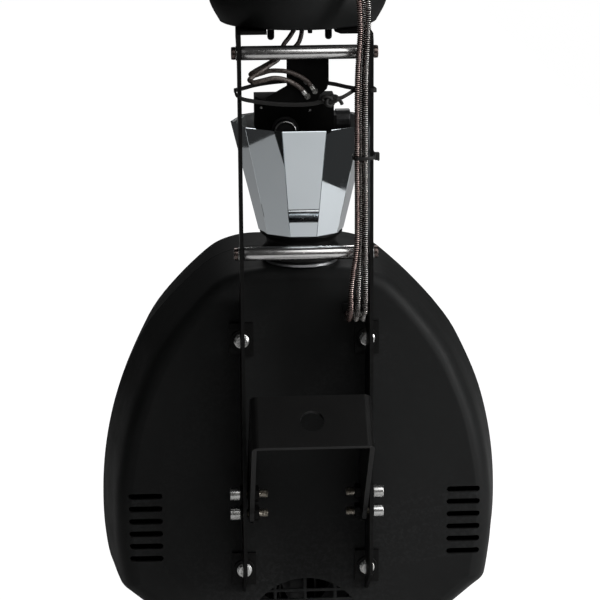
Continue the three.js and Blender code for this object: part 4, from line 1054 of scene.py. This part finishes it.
def weave(r, depth, strands, pitch):
    """Radius of an over-and-under braid at a length and an angle."""

    def f(i, s, th):
        u, v = s / pitch + th / TAU * strands, s / pitch - th / TAU * strands
        over = (math.floor(u) + math.floor(v)) % 2
        a, b = abs(math.sin(math.pi * u)), abs(math.sin(math.pi * v))
        return r - depth + depth * (a if over else b)

    return f


def cables():
    for i, route in enumerate(ROUTES):
        route = [(route[0][0] + 0.4, route[0][1] - 0.6, route[0][2])] + list(route[1:])
        L = length_of(catmull(route, 200))
        bm = new()
        # ribbed conduit, one ridge every 1.7 mm, with painted shade: a near-black metal in the grooves
        pitch = 1.7
        path = even(catmull(route, 1200), int(L / pitch * 8))
        steps = length_of(path) / (len(path) - 1)
        tube(bm, path, lambda k, s, th: 2.5 - 0.62 * (0.5 + 0.5 * math.cos(s / pitch * TAU)) ** 1.1, 18)
        bm.faces.ensure_lookup_table()
        for n, f in enumerate(bm.faces):
            if len(f.verts) == 4 and math.cos(((n // 18) + 0.5) * steps / pitch * TAU) > -0.3:
                f.material_index = 1
        finish_mesh("conduit_ribbed_%d" % (i + 1), bm, ["conduit_metal" if i else "conduit_warm", "conduit_groove"], "fixture", ["conduit_%d" % (i + 1)], slot="conduit_metal", angle=70)
        # the rubber grommet in the bush plate
        bm = new()
        x = route[-1][0]
        lathe(bm, "y", (x, 375.5), [(2.6, -38.05), (2.9, -38.05), (2.98, -38.3), (2.98, -39.4), (2.8, -40.4), (2.6, -40.7)], 24, closed=True)
        finish_mesh("grommet_%d" % (i + 1), bm, "black_rubber", "fixture")
    for i, route in enumerate(SLEEVES):
        L = length_of(catmull(route, 200))
        path = catmull(route, int(L / 0.4))
        bm = new()
        tube(bm, path, weave(2.0, 0.28, 8, 1.7), 32)
        finish_mesh("sleeve_braided_%d" % (i + 1), bm, "braided_sleeve", "fixture", ["mirror_cable_%d" % (i + 1)], angle=70)


cables()

STRAP = [
    (-58.6, -84, 578.8), (-58.6, -68, 577.6), (-58.6, -54, 575.6), (-56.6, -50.6, 575.4), (-52, -50, 576.2), (-41, -50, 579.2), (-28, -50, 581.2), (-14.8, -50, 582.2), (0, -50, 582.3), (22.5, -50, 579.9), (41.2, -50, 575.2), (50, -50, 574.8), (56.6, -50.6, 575.2), (58.6, -54, 575.8), (58.6, -68, 577.4),
    (58.6, -84, 578.6), (57.6, -87, 579), (55, -87.6, 579), (52.6, -86.7, 579), (51.2, -83.4, 579), (48.5, -81, 579), (44, -80.8, 579), (40.2, -83, 578.8), (38, -86.8, 578.2), (36, -89.4, 577.2), (28, -91.4, 573.2), (13, -91.2, 571), (3, -90.4, 568.6), (-14, -89.8, 568.4), (-30, -89.4, 569.6), (-46, -88.8, 572), (-52.6, -88.6, 573.4), (-56.4, -88.2, 575.4), (-58.4, -86.6, 577.4),
]
TIE = [(38.7, -84), (38.7, -89), (40.4, -92), (43.2, -92.9), (50.4, -92.9), (55.6, -90.4), (58.2, -86.5), (58.2, -62), (57.2, -59.8), (55, -59.2), (51.6, -59.4), (46, -65), (40.5, -74)]


def closed_even(pts, count, smooth=2):
    p = chaikin([tuple(x) for x in pts], smooth, True)
    p = [Vector(x) for x in p]
    return even(p + [p[0]], count)[:-1]


def straps():
    bm = new()
    loop = closed_even(STRAP, 220, 1)
    band(bm, loop, round_rect(1.4, 3.5, 0.45, 2))
    # the knot, its second turn and its free end
    knot = []
    for i in range(97):
        t = TAU * i / 96
        knot.append(Vector((19.4 + 2.3 * (math.sin(t) + 2 * math.sin(2 * t)), -92.2 - 1.0 * math.sin(3 * t), 572.2 + 1.6 * (math.cos(t) - 2 * math.cos(2 * t)))))
    tube(bm, knot[:-1] + [knot[0]], lambda k, s_, th: 1.7 - 0.3 * abs(math.sin(th)), 14)
    end = [Vector((22.5, -92.6, 573.6)), Vector((26.0, -93.0, 573.0)), Vector((28.4, -92.9, 571.0)), Vector((29.6, -92.5, 568.4))]
    tube(bm, catmull(end, 24), lambda k, s_, th: 1.5 - 0.4 * abs(math.sin(th)), 14)
    finish_mesh("strap_band", bm, "black_rubber", "fixture", ["retaining_strap"], angle=40)
    bm = new()
    loop = closed_even([(x, y, 522.5) for x, y in reversed(TIE)], 160, 1)
    band(bm, loop, round_rect(1.1, 3.0, 0.3, 2))
    box(bm, 57.8, 62.2, -79, -73, 518.2, 524.6, 0.7, 3)
    box(bm, 60.6, 62.1, -77.2, -74.8, 517.4, 519.4, 0.3, 2)
    finish_mesh("tie_band", bm, "black_rubber", "fixture", ["cable_tie"], angle=40)


straps()


# ------------------------------------------------------------------ small parts of the head
PAN = (-15, 538)


def head_parts():
    # the motor that pans the mirror, a can with a turned front edge
    bm = new()
    fs = lathe(bm, "y", PAN, [(0, -44.9), (6.4, -44.9), (6.8, -45.3), (7.6, -45.7), (8.4, -45.6), (9.3, -44.9), (9.6, -44.0), (9.6, -36.4), (11.2, -36.2),
                              (11.4, -36), (11.4, -34.3), (2.5, -34.3), (2.5, -15.7), (2.2, -15.5), (0, -15.5)], 48)
    for i, f in enumerate(fs):
        if 4 <= i // 48 <= 5:
            f.material_index = 1
    finish_mesh("pan_motor_can", bm, ["motor_black", "zinc_steel"], "fixture", ["pan_motor"], angle=35)

    # pan heads that hold the head box together
    bm = new()
    for x, z in ((-35.5, 557.2), (6.4, 554.4)):
        lathe(bm, "y", (x, z), [(0, -33.9), (1.25, -33.9), (1.25, -34.3), (1.0, -34.7), (0, -34.8)], 20)
    finish_mesh("head_screws", bm, "zinc_steel", "fixture", angle=30)

    # crimped ends of the two sleeves, screwed to the arm plate
    bm = new()
    for (ax, az), (bx, bz) in (((-1.9, 576.6), (2.6, 570.9)), ((4.9, 580.9), (8.9, 575.2)), ((-1.9, 576.6), (1.8, 583.4))):
        d = Vector((bx - ax, 0, bz - az)).normalized()
        lathe(bm, "y", (bx, bz), [(1.0, -62.65), (2.5, -62.65), (2.5, -63.3), (1.0, -63.3)], 20, closed=True)
        lathe(bm, "y", (bx, bz), [(0, -63.2), (1.9, -63.2), (1.9, -63.9), (1.4, -64.5), (0, -64.6)], 20)
    for pts in (((-1.5, -65.2, 576.1), (0.9, -65.0, 573.1)), ((5.4, -65.2, 580.3), (7.5, -65.0, 577.3))):
        path = [Vector(pts[0]).lerp(Vector(pts[1]), i / 8) for i in range(9)]
        tube(bm, path, lambda k, s_, th: 2.12 + (0.12 if 1.4 < s_ < 2.4 else 0.0), 20)
    finish_mesh("lead_terminals", bm, "zinc_steel", "fixture", angle=35)


head_parts()


# ------------------------------------------------------------------ CAD nodes that stay: welded, bevelled, with their own materials
def dress(name, mat, bevel=0.35, seg=2, planar=1.0):
    o = NODE[name]
    o.data.materials.clear()
    o.data.materials.append(MAT[mat])
    w = o.modifiers.new("weld", "WELD")
    w.merge_threshold = 0.00001
    d = o.modifiers.new("planar", "DECIMATE")
    d.decimate_type = "DISSOLVE"
    d.angle_limit = math.radians(planar)
    if bevel:
        b = o.modifiers.new("bevel", "BEVEL")
        b.width = bevel * MM
        b.segments = seg
        b.limit_method = "ANGLE"
        b.angle_limit = math.radians(32)
        b.use_clamp_overlap = True
        b.miter_outer = "MITER_ARC"
    n = o.modifiers.new("normals", "WEIGHTED_NORMAL")
    n.keep_sharp = True
    "black_steel" if mat in ("arm_shaded_black", "yoke_steel") else mat
    return o


KEEP = {
    "foot_strip_left": ("black_rubber", 0.5), "foot_strip_right": ("black_rubber", 0.5),
    "control_panel": ("black_steel", 0.4), "display_window": ("display_glass", 0.25),
    "menu_button_1": ("button_plastic", 0.3), "menu_button_2": ("button_plastic", 0.3), "menu_button_3": ("button_plastic", 0.3), "menu_button_4": ("button_plastic", 0.3),
    "power_switch": ("button_plastic", 0.35), "power_inlet": ("connector_plastic", 0.3), "signal_sockets": ("connector_plastic", 0.3),
    "rail_left": ("black_steel", 0.55), "rail_right": ("black_steel", 0.55), "yoke_bracket": ("yoke_steel", 0.9),
    # the arm plate gets the darker copy of black steel: painted shade under the cap
    "cap_driver_board": ("circuit_board", 0.15), "mirror_arm": ("arm_shaded_black", 0.3), 
    "mirror_fork": ("black_steel", 0.25), "tilt_motor": ("motor_black", 0.3), "mirror_holder": ("plain_aluminium", 0.2), "scan_mirror": ("mirror_glass", 0.2),
    "drum_motor": ("motor_black", 0.5), "inner_plate": ("plain_aluminium", 0.2), "lens_barrel": ("black_steel", 0.3), "objective_lens": ("lens_glass", 0.2),
    "led_heatsink": ("motor_black", 0.2), "led_board": ("circuit_board", 0.1), "gobo_wheel": ("wheel_steel", 0.15), "colour_wheel": ("wheel_steel", 0.15),
    "wheel_motors": ("motor_black", 0.4), "fan_frame": ("fan_plastic", 0.4), "fan_rotor": ("fan_plastic", 0.2),
    "power_supply": ("plain_aluminium", 0.5), "main_board": ("circuit_board", 0.15),
}
for name, (mat, bev) in KEEP.items():
    dress(name, mat, bev)


# ------------------------------------------------------------------ floor and light
def stage():
    bm = new()
    n = 24
    x0, x1, y0, y1 = -880.0, 850.0, -1500.0, 9000.0
    q = [[bm.verts.new((x0 + (x1 - x0) * x / n, y0 + (y1 - y0) * y / n, 0)) for y in range(n + 1)] for x in range(n + 1)]
    for i in range(n):
        for j in range(n):
            bm.faces.new([q[i][j], q[i + 1][j], q[i + 1][j + 1], q[i][j + 1]])
    for v in bm.verts:
        v.co *= MM
    me = bpy.data.meshes.new("floor")
    bm.to_mesh(me)
    bm.free()
    ob = bpy.data.objects.new("floor", me)
    scene.collection.objects.link(ob)
    m = Mat("floor")
    m.color(m.mix(m.span(m.noise(1.5, 3), 0, 1), (0.84, 0.84, 0.84), (0.87, 0.87, 0.87)))
    m.rough(m.span(m.noise(40), 0.75, 0.85))
    m.set(Specular_IOR_Level=0.1)
    # seen straight on it is washed out like the backdrop, with the contact shadow left
    glow = m.n("ShaderNodeEmission")
    glow.inputs[0].default_value = (1, 1, 1, 1)
    glow.inputs[1].default_value = 1.42
    see = m.n("ShaderNodeLightPath")
    both = m.n("ShaderNodeMixShader")
    m.l(m.math("MULTIPLY", see.outputs["Is Camera Ray"], 0.7), both.inputs[0])
    m.l(m.b.outputs[0], both.inputs[1])
    m.l(glow.outputs[0], both.inputs[2])
    m.l(both.outputs[0], m.out.inputs[0])
    me.materials.append(m.m)

    w = bpy.data.worlds.new("studio")
    scene.world = w
    w.use_nodes = True
    t = w.node_tree
    bg = t.nodes["Background"]
    bg.inputs[0].default_value = (1.0, 1.0, 1.0, 1)
    # a white backdrop round a darker room
    see = t.nodes.new("ShaderNodeLightPath")
    mr = t.nodes.new("ShaderNodeMapRange")
    mr.inputs["To Min"].default_value, mr.inputs["To Max"].default_value = 0.035, 1.0
    t.links.new(see.outputs["Is Camera Ray"], mr.inputs["Value"])
    t.links.new(mr.outputs[0], bg.inputs[1])
    scene.view_settings.view_transform = "Standard"

    def area(name, loc, target, size, power, color=(1, 1, 1), size_y=None, spread=180):
        l = bpy.data.lights.new(name, "AREA")
        l.energy, l.color = power, color
        l.shape = "RECTANGLE"
        l.spread = math.radians(spread)
        l.size, l.size_y = size, size_y or size
        o = bpy.data.objects.new(name, l)
        o.location = loc
        o.rotation_mode = "QUATERNION"
        o.rotation_quaternion = (Vector(target) - Vector(loc)).to_track_quat("-Z", "Y")
        scene.collection.objects.link(o)
        return o

    area("side", (1.9, -1.1, 0.8), (0, 0, 0.3), 0.6, 37, size_y=1.0)
    area("overhead", (0.75, -1.0, 1.5), (0.3, -0.5, 0), 1.8, 12.5, size_y=1.0)
    area("wall", (1.3, -3.4, 1.75), (0, 0, 0.9), 3.6, 6, (1, 0.97, 0.95), size_y=1.5).visible_camera = False
    area("behind", (0.3, 1.9, 2.3), (0, 0, 0.4), 1.2, 15)


stage()
